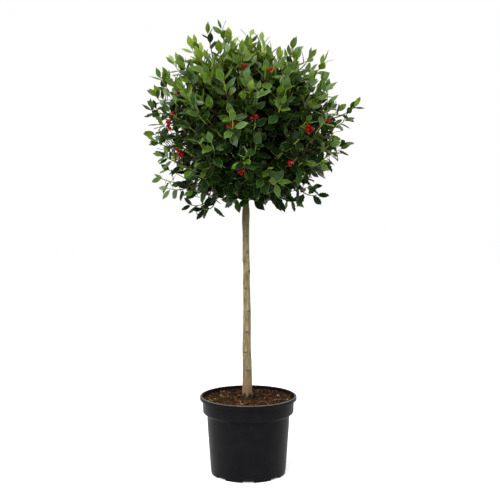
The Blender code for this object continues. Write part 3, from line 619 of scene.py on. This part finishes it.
CLOCK_REACH = (0.278, 0.262, 0.250, 0.255, 0.255, 0.272, 0.275, 0.268, 0.275, 0.228, 0.272, 0.272)
CLOCK_STEP = 360 / len(CLOCK_REACH)
PROUD_SHOOTS = (
    (6, 330), (22, 284), (37, 296), (47, 287), (60, 268), (90, 287), (108, 296), (116, 316),
    (127, 288), (141, 302), (154, 291), (165, 324), (176, 314), (192, 320), (205, 296), (213, 346),
    (221, 340), (235, 337), (243, 325), (256, 264), (286, 275), (299, 307), (311, 325), (324, 284),
    (337, 291), (346, 314), (358, 302),
)
PROUD_DEPTH, GOLDEN_ANGLE = math.radians(9), math.radians(137.508)
SHOOTS, LOWEST_SHOOT, SHOOT_APART = 92, -0.93, math.radians(13)
LOWEST_PROUD, PROUD_EVERY, PROUD_SHARE = -0.5, 5, 0.10
SPACE_MARGIN, LIMB_MARGIN = 0.0008, 0.005
TWIG_BEND, TWIG_FREE, TRIES, DRAW_IN = 0.5, 0.35, 12, 0.12
FIRST_TWIG, LAST_TWIG = 0.25, 0.95
TWIG_RADII, SHOOT_RADII = (0.0024, 0.0013), (0.0015, 0.0010)
TIP_LEAF_REACH = 0.033
FINE_SHOOTS, LOWEST_FINE, FINE_SCATTER = 740, -0.965, math.radians(3.5)
FINE_DEPTHS = (1.05, 0.78, 0.50, 0.92, 0.68, 0.99, 0.58, 0.84, 1.14, 0.62, 0.88, 0.54)
INNER_DEPTH = 0.80
# How far the fine shoots fill the outline, every 30 degrees from the right, and the crown's one shady hollow
FILL = (0.95, 0.93, 0.84, 0.95, 0.97, 1.02, 1.06, 1.04, 0.95, 0.82, 0.95, 1.0)
HOLLOW, HOLLOW_SIZE, HOLLOW_DEPTH = Vector((0.092, -0.24, -0.030)).normalized(), math.radians(18), 0.80
SHOOT_LENGTH, SHOOT_LIFT, SHOOT_LEAST_Z = 0.105, 0.90, -0.78
BROWN_TWIG, GREEN_TWIG = "463C26", "82923E"
GREEN_FROM, FINE_TINTS = 0.72, [0, 0, 0, 0, 1, 1]
LEADING_STEPS, FINE_STEPS, LEAST_SPAN = 12, 6, 0.025


def reach(direction, clock=CLOCK_REACH):
    """The head's reach one way: its left and right outline at that height, shared out round the sides."""

    def outline(degrees):
        step = (degrees % 360) / CLOCK_STEP
        low = int(step)
        a, b = clock[low % len(clock)], clock[(low + 1) % len(clock)]
        return a + (b - a) * (step - low)

    elevation = math.degrees(math.asin(max(-1.0, min(1.0, direction.z))))
    flat = math.hypot(direction.x, direction.y)
    side = direction.x / flat if flat > 1e-6 else 0.0
    return outline(elevation) * (1 + side) / 2 + outline(180 - elevation) * (1 - side) / 2


def plan_shoots(masses):
    """Shares the leading shoots' tips out: first the proud ones of the outline, then an even spiral."""
    tips = []
    for index, (clock, length) in enumerate(PROUD_SHOOTS):
        angle = math.radians(clock)
        depth = PROUD_DEPTH if index % 2 else -PROUD_DEPTH
        direction = Vector((math.cos(angle), math.tan(depth), math.sin(angle))).normalized()
        tips.append((direction, length / 1000 / math.cos(depth)))
    proud = [direction for direction, length in tips]
    for index in range(SHOOTS):
        height = 1 - (index + 0.5) * (1 - LOWEST_SHOOT) / SHOOTS
        direction = around(index * GOLDEN_ANGLE, math.asin(height))
        if min(direction.angle(other) for other in proud) < SHOOT_APART:
            continue
        extra = 1 + PROUD_SHARE if index % PROUD_EVERY == 0 and height > LOWEST_PROUD else 1.0
        tips.append((direction, reach(direction) * min(1.0, reach(direction, FILL)) * extra))
    for direction, length in tips:
        max(masses, key=lambda mass: mass.direction.dot(direction)).shoots.append((direction, length))


def limb_room(point, limbs):
    """How far a point lies from the surface of the nearest limb."""
    room = 1.0
    for a, b, radius in limbs:
        way = b - a
        share = max(0.0, min(1.0, (point - a).dot(way) / way.length_squared))
        room = min(room, (point - a - way * share).length - radius)
    return room


def holds(mass, masses, limbs, points):
    """Whether the points lie in the mass's own wedge of the head, clear of the limbs."""
    planes = [(mass.direction - other.direction).normalized() for other in masses if other is not mass]
    return all(
        min((point - HEAD_CENTRE).dot(plane) for plane in planes) > SPACE_MARGIN + TWIG_RADII[0]
        and limb_room(point, limbs) > LIMB_MARGIN + TWIG_RADII[0]
        for point in points
    )


def leading_twigs(mass, masses, limbs):
    """Twigs in order along the mass's stem, each drawn in until it keeps to the mass's space."""
    foot, end = mass.stem[0], mass.stem[-1]
    way = (end - foot).normalized()
    order = sorted(mass.shoots, key=lambda shoot: way.dot(HEAD_CENTRE + shoot[0] * shoot[1] - foot))
    twigs = []
    for (direction, length), share in zip(order, taper(FIRST_TWIG, LAST_TWIG, max(1, len(order) - 1))):
        root = along(mass.stem, share)
        for _ in range(TRIES):
            tip = HEAD_CENTRE + direction * (length - TIP_LEAF_REACH)
            route = (root, tip - heading_of(direction) * (tip - root).length * TWIG_BEND, tip)
            if holds(mass, masses, limbs, [along(route, k) for k in taper(TWIG_FREE, 1.0, TRIES)]):
                twigs.append((route, length))
                break
            direction = direction.lerp(mass.direction, DRAW_IN).normalized()
    return twigs


def heading_of(direction):
    """The way a shoot's end points: outwards, lifted towards the light."""
    return Vector((direction.x, direction.y, max(direction.z, SHOOT_LEAST_Z) + SHOOT_LIFT)).normalized()


class Shoot:
    """A leafy shoot: its curve's handles, how far its leaves may reach, and its mass."""

    def __init__(self, route, limit, mass, leading, depth):
        self.route, self.limit, self.mass, self.leading, self.depth = route, limit, mass, leading, depth
        self.length = sum((a - b).length for a, b in zip(self.points(8), self.points(8)[1:]))
        self.outward = (route[-1] - HEAD_CENTRE).normalized()

    def points(self, steps):
        return [along(self.route, share) for share in taper(0, 1, steps)]


def nearest_of(points):
    """A search tree that finds the nearest of some points."""
    tree = KDTree(len(points))
    for index, point in enumerate(points):
        tree.insert(point, index)
    tree.balance()
    return tree


def plan_twigs(masses):
    levels = taper(TRUNK_FOOT, TRUNK_TIP, 24)
    limbs = [(trunk_axis(low), trunk_axis(high), trunk_radius(low)) for low, high in zip(levels, levels[1:])]
    for mass in masses:
        if mass.bough:
            route = [mass.bough[0]] + [along(mass.bough[1:5], k / 4) for k in range(5)] + [mass.bough[5]]
            limbs += zip(route, route[1:], taper(BOUGH_ROOT_RADIUS, BOUGH_TIP_RADIUS, len(route) - 1))
    plan_shoots(masses)
    leading = [Shoot(route, length, mass, True, 1.0)
               for mass in masses for route, length in leading_twigs(mass, masses, limbs)]
    roots = nearest_of([point for shoot in leading for point in shoot.points(14)[3:13]]
                       + [along(mass.stem, share) for mass in masses for share in (0.4, 0.6, 0.8, 1.0)])
    draw = random.Random(3)
    fine = []
    for index in range(FINE_SHOOTS):
        height = 1 - (index + 0.5) * (1 - LOWEST_FINE) / FINE_SHOOTS
        direction = around(index * GOLDEN_ANGLE + draw.gauss(0, 1) * FINE_SCATTER,
                           math.asin(height) + draw.gauss(0, 1) * FINE_SCATTER)
        share = FINE_DEPTHS[index % len(FINE_DEPTHS)] * draw.uniform(0.96, 1.02)
        if share > HOLLOW_DEPTH and direction.angle(HOLLOW) < HOLLOW_SIZE:
            share *= HOLLOW_DEPTH
        length = reach(direction) * share * reach(direction, FILL)
        tip = HEAD_CENTRE + direction * (length - TIP_LEAF_REACH)
        heading = heading_of(direction)
        root = roots.find(tip - heading * SHOOT_LENGTH * draw.uniform(0.85, 1.3))[0]
        span = (tip - root).length
        if span < LEAST_SPAN:
            continue
        mass = max(masses, key=lambda one: one.direction.dot(direction))
        fine.append(Shoot((root, tip - heading * span * TWIG_BEND, tip), length, mass, False, share))
    return leading, fine


def make_twigs(masses, leading, fine):
    heap = Heap()
    for mass in masses:
        heap.add_limb([along(mass.stem, share) for share in taper(0, 1, 10)],
                      taper(BOUGH_TIP_RADIUS, BOUGH_TIP_RADIUS * STEM_TIP_SHARE, 10), 8)
    tints = [int(k >= GREEN_FROM * LEADING_STEPS) for k in range(LEADING_STEPS)]
    for shoot in leading:
        heap.add_limb(shoot.points(LEADING_STEPS), taper(*TWIG_RADII, LEADING_STEPS), 6, tints)
    for shoot in fine:
        heap.add_limb(shoot.points(FINE_STEPS), taper(*SHOOT_RADII, FINE_STEPS), 5,
                      FINE_TINTS if shoot.depth > INNER_DEPTH else 0)
    brown = grained("brown_holly_twig", BROWN_TWIG, "3B2F1C", 0.004, 0.7, 0.0002)
    green = grained("green_holly_shoot", GREEN_TWIG, "6E7C38", 0.006, 0.5, 0.0001)
    return add_piece("twigs", heap.mesh("twigs", 60), "foliage", brown, green)


leading_shoots, fine_shoots = plan_twigs(masses)
make_twigs(masses, leading_shoots, fine_shoots)


# Berries
# Ripe drupes, a little over a centimetre long, glossy red with a dark dot at the far end, on short green
# stalks. They sit in small clusters on the shoots, where the front shows them and likewise round the back.

BERRY_RADIUS = 0.0054
BERRY_CLUSTERS = (
    (-0.014, 1.178, 2), (-0.207, 1.110, 1), (-0.219, 1.044, 2), (-0.229, 1.010, 4),
    (-0.053, 1.012, 2), (0.017, 1.039, 2), (0.064, 1.171, 2), (0.179, 1.001, 5),
    (0.236, 1.019, 2), (-0.201, 0.930, 5), (-0.021, 0.882, 3), (0.124, 0.909, 3),
)
BERRY_PLACE, BERRY_FRONT, BERRY_ROOM = 0.90, 0.10, 0.0075
EYE = Vector((0.005, -2.4845, 0.776))
BACK_CLUSTERS = 22
BERRY_RED, BERRY_ORANGE, BERRY_DOT = "7E0200", "880E00", "1E0E06"
BERRY_LONG, BERRY_APART, BERRY_SPREAD, BERRY_SIZES, ORANGE_SHARE = 1.08, 1.15, 0.28, (0.88, 1.06), 0.2
BERRY_DRAW_IN, DOT_FROM, STALK_RADII = 0.15, 0.93, (0.0007, 0.0005, 0.0005)


def berry_spots():
    """Where the clusters hang: the front's as they show there, the rest evenly over the back half."""
    spots = []
    for x, z, count in BERRY_CLUSTERS:
        flat = Vector((x - HEAD_CENTRE.x, 0.0, z - HEAD_CENTRE.z))
        depth = math.sqrt(max(0.0, (reach(flat.normalized()) * BERRY_PLACE) ** 2 - flat.length_squared))
        spot = HEAD_CENTRE + flat
        spots.append((spot.lerp(EYE, max(depth, BERRY_FRONT) / -EYE.y), count))
    for index in range(BACK_CLUSTERS * 2):
        direction = around(index * GOLDEN_ANGLE + 1.0, math.asin(0.75 - 1.35 * (index + 0.5) / BACK_CLUSTERS / 2))
        if direction.y > 0.3:
            spots.append((HEAD_CENTRE + direction * reach(direction) * BERRY_PLACE, 1 + (index * 7) % 5))
    return spots


def make_berries(spots, shoots):
    draw = random.Random(19)
    heap = Heap()
    roots = nearest_of([point for shoot in shoots for point in shoot.points(8)[3:7]])
    ball = bmesh.new()
    bmesh.ops.create_uvsphere(ball, u_segments=14, v_segments=10, radius=1.0)
    corners = [vert.co.copy() for vert in ball.verts]
    faces = [[vert.index for vert in face.verts] for face in ball.faces]
    dots = [face.calc_center_median().z > DOT_FROM for face in ball.faces]
    ball.free()
    centres = []
    for spot, count in spots:
        outward = (spot - HEAD_CENTRE).normalized()
        root = roots.find(spot)[0]
        spot = spot.lerp(root, BERRY_DRAW_IN)
        level = outward.cross(UP).normalized()
        rise = level.cross(outward)
        for k in range(count):
            turn = k * GOLDEN_ANGLE + draw.uniform(-0.3, 0.3)
            out = BERRY_RADIUS * (BERRY_APART if count > 1 else 0) * (1 + BERRY_SPREAD * k)
            centre = spot + (level * math.cos(turn) + rise * math.sin(turn)) * out + outward * draw.uniform(0, 0.004)
            way = (centre - root + outward * 0.01 - UP * 0.004).normalized()
            across = way.orthogonal().normalized()
            other = way.cross(across)
            size = BERRY_RADIUS * draw.uniform(*BERRY_SIZES)
            shape = [centre + across * c.x * size + other * c.y * size + way * c.z * size * BERRY_LONG
                     for c in corners]
            skin = 1 if draw.random() < ORANGE_SHARE else 0
            heap.add(shape, faces, [2 if dot else skin for dot in dots])
            heap.add_limb([root, root.lerp(centre, 0.5) + UP * 0.001, centre], STALK_RADII, 4, 3)
            centres.append(centre)
    made = [
        finish_of("ripe_berry_skin", BERRY_RED, 0.25, IOR=1.4, Specular_IOR_Level=0.11)[0],
        finish_of("orange_berry_skin", BERRY_ORANGE, 0.27, IOR=1.4, Specular_IOR_Level=0.11)[0],
        finish_of("berry_dot", BERRY_DOT, 0.6)[0], finish_of("berry_stalk", GREEN_TWIG, 0.5)[0],
    ]
    add_piece("berries", heap.mesh("berries", 80), "foliage", *made)
    return centres


berry_centres = make_berries(berry_spots(), leading_shoots + fine_shoots)


# Leaves
# Leathery evergreen leaves, 4.5 cm long: dark and glossy above, paler and matt below, yellow green while
# young. They turn round each shoot in a spiral, and a leaf that would cut another is turned or left out.

LEAF_LENGTH, LEAF_RATIO = 0.0475, 0.455
# The rib and the pale margin are drawn about twice as wide as they are, to show at all
RIB_WIDTH, MARGIN_WIDTH, STALK_WIDTH = 0.045, 0.09, 0.04
TIP_NODES = (0.0, 0.006, 0.016, 0.030)
NODE_STEP, NODE_GROWTH = 0.0165, 1.05
TIP_SIZES = (0.78, 0.84, 0.92, 0.97)
TIP_PITCHES, OLD_PITCH = (8, 26, 34, 40), 45
ROSETTE, ROSETTE_FROM = 0.80, 0.45
LEADING_LEAVES, FINE_LEAVES = 11, 8
LEAF_HANG, HANG_BELOW = 0.42, 0.25
LEAF_SIZES, LEAF_PITCHES, FIRST_LEAF, LIMIT_ROOM = (0.84, 1.08), (0.8, 1.2), 0.12, 0.004
# How a blade bends: its two halves fold up, its tip droops, it twists, and its underside lies a little lower
FOLDS, DROOPS, TWISTS, LEAF_WIDTHS = (0.10, 0.40), (-0.02, 0.24), (-0.35, 0.35), (0.92, 1.08)
FOLD_ROUND, LEAF_THICKNESS = 1.1, 0.022
# What a leaf tries in turn to keep clear: how much further it goes round the shoot, and its share of the pitch
SWINGS = ((0, 1), (0.45, 1), (-0.45, 1), (0.9, 1), (-0.9, 1), (0, 0.6), (0.45, 0.6), (-0.45, 0.6),
          (1.35, 1), (-1.35, 1))
CELL = 0.03
LEAF_AGES = (
    # age, with shaded as the painted shade of the leaves deep inside: colours of the top, underside, rib and margin;
    # roughness and sheen of the top
    ("shaded", ("040C02", "142206", "040C02", "040C02"), 0.45, 0.03),
    ("old", ("0C1D04", "2A3E0E", "1E300C", "425A22"), 0.34, 0.04),
    ("full_grown", ("1B3B08", "3E5512", "3A521A", "667E36"), 0.28, 0.24),
    ("fresh", ("38570F", "647E1A", "607626", "869C42"), 0.30, 0.40),
    ("young", ("6E8626", "70881E", "92A442", "A2B454"), 0.38, 0.38),
)
SHADED, OLD, FULL_GROWN, FRESH, YOUNG = range(5)
LEAF_SIDES = ("blade", "underside", "rib", "margin")
# How fresh a shoot is, with light and shade painted in: at the head's waist, its rise to the top (also painted light
# from above), its chance, its loss inwards (also painted shade); the low sprigs' gain (painted light)
FRESH_WAIST, FRESH_AND_LIGHT_RISE, FRESH_CHANCE, FRESH_AND_SHADE_LOSS = 0.48, 0.56, 0.22, 1.6
LOW_SPRIG, LOW_SPRIG_LIGHT_GAIN = -0.45, 0.3
# How fresh a shoot has to be for a leaf of an age: at its tip, and how much more at its foot
YOUNG_FROM, YOUNG_STEP, FRESH_FROM, FRESH_STEP, OLD_SPAN = 0.84, 1.4, 0.35, 0.9, (0.2, 0.8)
SPINY_BELOW, SPINY_SHARE = 0.15, 0.4
FACE_UP, FACE_OUT, FACE_SCATTER = 0.25, 0.25, 0.22
FACE_SIDE, FACE_LOW, FRONT_SHARE = 0.3, 0.8, 0.2
BOX_ROOM = 0.006
# The stem is pruned clean this far up, and no leaf hangs nearer to it than this
CLEAR_HEIGHT, CLEAR_REACH, CLEAR_SIDE = 0.799, 0.080, 0.026


LEAF_SHAPES = {
    # shape: stations of one edge as along, across and whether it waves; rib's joints; points between rib and edge
    "entire": (((0.09, 0.07, 0), (0.18, 0.36, 0), (0.30, 0.74, 0), (0.44, 0.98, 0), (0.58, 0.98, 0),
                (0.72, 0.75, 0), (0.84, 0.42, 0), (0.93, 0.16, 0)), (0.14, 0.36, 0.58, 0.80), (0.34, 0.58)),
    "spiny": (((0.09, 0.06, 0), (0.17, 0.46, 0), (0.26, 0.86, 1), (0.35, 0.84, 0), (0.46, 1.08, 1),
               (0.55, 0.92, 0), (0.66, 1.0, 1), (0.75, 0.70, 0), (0.84, 0.62, 1), (0.92, 0.26, 0)),
              (0.14, 0.36, 0.58, 0.80), (0.36, 0.60)),
    "inner": (((0.10, 0.06, 0), (0.30, 0.84, 0), (0.58, 1.0, 0), (0.84, 0.52, 0)), (0.44,), ()),
}


def leaf_template(kind):
    """A blade in its own plane, its root at 0 and its tip at 1: points as along, across, wave and underside."""
    stations, joints, halves = LEAF_SHAPES[kind]
    right = [(0.0, STALK_WIDTH, 0.0)] + [(x, wide, wave * 0.10) for x, wide, wave in stations]
    outline = right + [(1.0, 0.0, 0.0)] + [(x, -wide, wave) for x, wide, wave in reversed(right)]
    first, tip = len(outline), len(right)
    inner, lines = [(x, side * 0.55, 0.0) for x in halves for side in (-1, 1)], []
    hem = [(x, wide * (1 - MARGIN_WIDTH), wave * (1 - MARGIN_WIDTH)) for x, wide, wave in right[2:] if halves]
    for side in (1, -1) if halves else (0,):
        joint = first + len(inner)
        inner += [(x, side * RIB_WIDTH, 0.0) for x in joints]
        lines += [(joint + k, joint + k + 1) for k in range(len(joints) - 1)] + [(joint + len(joints) - 1, tip)]
        if hem:
            route = [1 if side > 0 else first - 2] + [first + len(inner) + k for k in range(len(hem))] + [tip]
            inner += [(x, side * wide, wave) for x, wide, wave in hem]
            lines += zip(route, route[1:])
    under = [(x, 0.0, 0.0) for x in (0.14, 0.5, 0.86)[:len(joints)]]
    points = np.array([(*point, 0) for point in outline + inner] + [(*point, 1) for point in under])
    edge = [(k, (k + 1) % len(outline)) for k in range(len(outline))]

    def skin(chosen, lines, flip):
        flat = [Vector(points[k][:2]) for k in chosen]
        found = delaunay_2d_cdt(flat, [(chosen.index(a), chosen.index(b)) for a, b in edge + lines], [], 1, 1e-6)[2]
        return [[chosen[k] for k in (face[::-1] if flip else face)] for face in found]

    def side_of(face):
        if not hem:
            return 0
        if max(abs(points[k][1]) for k in face) <= RIB_WIDTH + 1e-6:
            return 2
        x, y = points[list(face), :2].mean(0)
        border = np.interp(x, [right[1][0]] + [point[0] for point in hem] + [1.0],
                           [right[1][1]] + [point[1] for point in hem] + [0.0])
        return 3 if abs(y) > border else 0

    low = first + len(inner)
    above = skin(list(range(low)), lines, False)
    below = skin(list(range(first)) + list(range(low, low + len(under))), [], True)
    return points, np.array(above + below), np.array([side_of(face) for face in above] + [1] * len(below))


def leaf_frame(way, face):
    normal = (face - way * face.dot(way)).normalized()
    return way.cross(normal), normal


def blade(root, way, across, normal, length):
    """A leaf's rough shape, to test what it would cut."""
    half = length * LEAF_RATIO * 0.40
    corners = [root + way * length * 0.16]
    for x, side in ((0.38, 1), (0.72, 0.8), (0.97, 0), (0.72, -0.8), (0.38, -1)):
        corners.append(root + way * length * x + across * half * side + normal * half * 0.25 * abs(side))
    return corners


BLADE_FACES = ((0, 1, 5), (1, 2, 4, 5), (2, 3, 4))


class Crowd:
    """The leaves placed so far, kept by place so that only near ones are tested."""

    def __init__(self, limbs, berries):
        self.cells = {}
        self.limbs = limbs
        self.berries = []
        for centre in berries:
            self.berries.append((centre, (centre - HEAD_CENTRE).normalized()))
            if centre.y < 0:
                self.berries.append((centre, (EYE - centre).normalized()))
        self.low, self.high = (Vector(corner) for corner in solid_box)

    def near(self, point):
        x, y, z = (int(c // CELL) for c in point)
        for i in (x - 1, x, x + 1):
            for j in (y - 1, y, y + 1):
                for k in (z - 1, z, z + 1):
                    yield from self.cells.get((i, j, k), ())

    def hides_berry(self, corners, middle):
        for centre, outward in self.berries:
            off = middle - centre
            if off.length < 0.07:
                for point in corners + [middle]:
                    gap = point - centre
                    rise = gap.dot(outward)
                    if rise > -0.004 and (gap - outward * rise).length < BERRY_ROOM:
                        return True
        return False

    def takes(self, corners):
        """Adds a leaf, unless it would cut another one or a limb, or hide a berry."""
        middle = corners[0].lerp(corners[3], 0.5)
        if any(corners[3][k] < self.low[k] - BOX_ROOM or corners[3][k] > self.high[k] + BOX_ROOM for k in range(3)):
            return False
        tree = BVHTree.FromPolygons(corners, BLADE_FACES)
        if tree.overlap(self.limbs) or self.hides_berry(corners, middle):
            return False
        if any(tree.overlap(other) for other in self.near(middle)):
            return False
        self.cells.setdefault(tuple(int(c // CELL) for c in middle), []).append(tree)
        return True


def plan_leaves(shoots, crowd):
    """Each leaf as its root, way, across, normal, length, shape, tint and the mass that it belongs to."""
    leaves = []
    for number, shoot in enumerate(shoots):
        draw = random.Random(1000 + number)
        # Leaves are paler towards the top and on the low sprigs and darker inwards: partly their age, partly painted
        # light from above and painted shade inside the head
        fresh = FRESH_WAIST + FRESH_AND_LIGHT_RISE * shoot.outward.z + draw.gauss(0, FRESH_CHANCE)
        fresh -= FRESH_AND_SHADE_LOSS * (1 - shoot.depth)
        fresh += LOW_SPRIG_LIGHT_GAIN if shoot.leading and shoot.outward.z < LOW_SPRIG else 0.0
        turn = draw.uniform(0, math.tau)
        count = LEADING_LEAVES if shoot.leading else FINE_LEAVES
        back, step = 0.0, NODE_STEP
        for index in range(count):
            if index < len(TIP_NODES):
                back, size, pitch = TIP_NODES[index], TIP_SIZES[index], TIP_PITCHES[index]
            else:
                back += step
                step *= NODE_GROWTH
                size, pitch = 1.0, OLD_PITCH
            share = 1 - back / shoot.length
            if share < FIRST_LEAF:
                break
            turn += GOLDEN_ANGLE
            spot = along(shoot.route, share)
            axis = (along(shoot.route, min(1.0, share + 0.03)) - along(shoot.route, share - 0.05)).normalized()
            level = axis.cross(UP).normalized()
            rise = level.cross(axis)
            pitch *= 1 + ROSETTE * min(1.0, max(0.0, ROSETTE_FROM - shoot.outward.z))
            pitch = math.radians(pitch * draw.uniform(*LEAF_PITCHES))
            length = LEAF_LENGTH * size * draw.uniform(*LEAF_SIZES)
            face = axis + shoot.outward * FACE_OUT + UP * FACE_UP * (1.25 - 0.4 * shoot.outward.z)
            turned = FACE_SIDE + FACE_LOW * min(1.0, max(0.0, -0.1 - shoot.outward.z) * 2)
            face.y += math.copysign(turned * (1 - abs(shoot.outward.y)), shoot.outward.y - FRONT_SHARE)
            face += Vector([draw.gauss(0, FACE_SCATTER) for _ in range(3)])
            hang = LEAF_HANG * max(0.0, HANG_BELOW - shoot.outward.z)
            for swing, ease in SWINGS:
                side = rise * math.cos(turn + swing) + level * math.sin(turn + swing)
                way = (axis * math.cos(pitch * ease) + side * math.sin(pitch * ease) - UP * hang).normalized()
                across, normal = leaf_frame(way, face)
                tip = spot + way * length
                if (tip - HEAD_CENTRE).length > shoot.limit + LIMIT_ROOM:
                    continue
                if tip.z < CLEAR_HEIGHT and (tip.xy.length < CLEAR_REACH or abs(tip.x) < CLEAR_SIDE):
                    continue
                if crowd.takes(blade(spot, way, across, normal, length)):
                    age = index / count + draw.gauss(0, 0.06)
                    tint = YOUNG if fresh > YOUNG_FROM + age * YOUNG_STEP else (
                        FRESH if fresh > FRESH_FROM + age * FRESH_STEP else FULL_GROWN)
                    if tint == FULL_GROWN and fresh < draw.uniform(*OLD_SPAN):
                        tint = OLD
                    spiny = shoot.outward.z < SPINY_BELOW and draw.random() < SPINY_SHARE and tint < YOUNG
                    kind = "spiny" if spiny else "entire"
                    # Leaves deep inside the head take the near-black shaded colours: painted shade
                    if shoot.depth < INNER_DEPTH:
                        kind, tint = "inner", SHADED
                    leaves.append((spot, way, across, normal, length, kind, tint, shoot.mass))
                    break
    return leaves


def leaf_meshes(leaves):
    """The points, faces and tints of the leaves given, worked out for all of one shape at once."""
    points, faces, tints, first = [], [], [], 0
    rng = np.random.default_rng(5)
    for kind in LEAF_SHAPES:
        chosen = [leaf for leaf in leaves if leaf[5] == kind]
        if not chosen:
            continue
        shape, skin, sides = leaf_template(kind)
        count = len(chosen)
        root, way, across, normal = (np.array([leaf[k][:] for leaf in chosen])[:, None, :] for k in range(4))
        length = np.array([leaf[4] for leaf in chosen])[:, None, None]
        fold, droop, twist, ratio = (rng.uniform(*span, (count, 1)) for span in (FOLDS, DROOPS, TWISTS, LEAF_WIDTHS))
        ratio = LEAF_RATIO / 2 * ratio
        x, y, wave, under = (shape[None, :, k] for k in range(4))
        y = y * ratio
        z = fold * np.abs(y) - FOLD_ROUND * fold * y**2 / ratio - droop * x**2 + twist * x * y + wave * ratio * 2
        z = z - under * LEAF_THICKNESS
        at = root + length * (x[..., None] * way + y[..., None] * across + z[..., None] * normal)
        points.append(at.reshape(-1, 3))
        faces.append((skin[None] + (np.arange(count) * len(shape))[:, None, None] + first).reshape(-1, 3))
        first += count * len(shape)
        tint = np.array([leaf[6] for leaf in chosen])[:, None]
        tints.append((tint * len(LEAF_SIDES) + sides[None]).reshape(-1))
    return np.concatenate(points), np.concatenate(faces), np.concatenate(tints)


def make_leaves():
    crowd = Crowd(BVHTree.FromPolygons(bark_heap.points, bark_heap.faces), berry_centres)
    order = sorted(leading_shoots, key=lambda shoot: -shoot.limit)
    order += sorted(fine_shoots, key=lambda shoot: -shoot.depth)
    leaves = plan_leaves(order, crowd)
    finishes = []
    for age, tints, gloss, sheen in LEAF_AGES:
        for side, tint in zip(LEAF_SIDES, tints):
            top = side == "blade"
            finishes.append(finish_of(f"{age}_holly_{side}", tint, gloss if top else 0.5, IOR=1.5,
                                      Specular_IOR_Level=sheen if top else 0.2)[0])
    for ring in ("low", "middle", "high"):
        rings = (ring, "top") if ring == "high" else (ring,)
        own = [mass for mass in masses if mass.ring in rings]
        points, faces, tints = leaf_meshes([leaf for leaf in leaves if leaf[7] in own])
        mesh = smoothed(mesh_of(f"leaves_{ring}", points, faces, tints), 32)
        piece = add_piece(f"leaves_{ring}", mesh, "foliage", *finishes)
        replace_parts(piece, *[mass.name for mass in own])


make_leaves()


# Studio
# A plain white floor and surround, with one wide soft light up to the left and a weak one at the right. The
# camera is in front, as high as the head's underside, tipped down a little, with a small shift of its lens.

FLOOR_WHITE = "F7F7F6"
SURROUND_FRONT, SURROUND_TOP, SURROUND_BACK, SURROUND_TINT = 0.10, 1.05, 1.0, (1.0, 1.0, 1.0, 1.0)
LENS, LENS_SHIFT, CAMERA_PITCH = 61.26, -0.06, math.radians(0.895)
FLOOR_GLOW = 0.35


def make_studio():
    floor_mesh = mesh_of("floor", [(-9, -9, 0), (9, -9, 0), (9, 9, 0), (-9, 9, 0)], [(0, 1, 2, 3)])
    floor_mesh.materials.append(finish_of("matt_white_floor", FLOOR_WHITE, 0.9, Emission_Color=(1, 1, 1, 1),
                                          Emission_Strength=FLOOR_GLOW)[0])
    placed("studio_floor", floor_mesh)
    world = bpy.context.scene.world or bpy.data.worlds.new("surround")
    bpy.context.scene.world = world
    world.use_nodes = True
    tree = world.node_tree
    way = add_node(tree, "ShaderNodeSeparateXYZ", {0: add_node(tree, "ShaderNodeTexCoord").outputs["Generated"]})
    seen = add_node(tree, "ShaderNodeLightPath").outputs["Is Camera Ray"]
    for share in ((way.outputs["Z"], 0.0, 0.8, SURROUND_FRONT, SURROUND_TOP),
                  (way.outputs["Y"], -0.2, 0.6, SURROUND_FRONT, SURROUND_BACK)):
        glow = add_node(tree, "ShaderNodeMapRange", dict(enumerate(share)))
        seen = add_node(tree, "ShaderNodeMath", {0: seen, 1: glow.outputs[0]}, operation="MAXIMUM").outputs[0]
    surround = tree.nodes["Background"]
    surround.inputs["Color"].default_value = SURROUND_TINT
    tree.links.new(seen, surround.inputs["Strength"])
    target = Vector((0, 0, 0.85))
    for name, place, size, power in (("key", (-1.0, -1.5, 3.4), 2.6, 122), ("fill", (2.2, -1.8, 1.8), 1.6, 9)):
        lamp = bpy.data.lights.new(name, "AREA")
        lamp.size, lamp.energy = size, power
        light = placed(name, lamp)
        light.location = place
        light.rotation_euler = (target - Vector(place)).to_track_quat("-Z", "Y").to_euler()
    lens = bpy.data.cameras.new("camera")
    lens.lens, lens.shift_y = LENS, LENS_SHIFT
    camera = placed("camera", lens)
    camera.location = EYE
    camera.rotation_euler = (math.pi / 2 - CAMERA_PITCH, 0, 0)
    bpy.context.scene.camera = camera
    bpy.context.scene.view_settings.view_transform = "Standard"


make_studio()
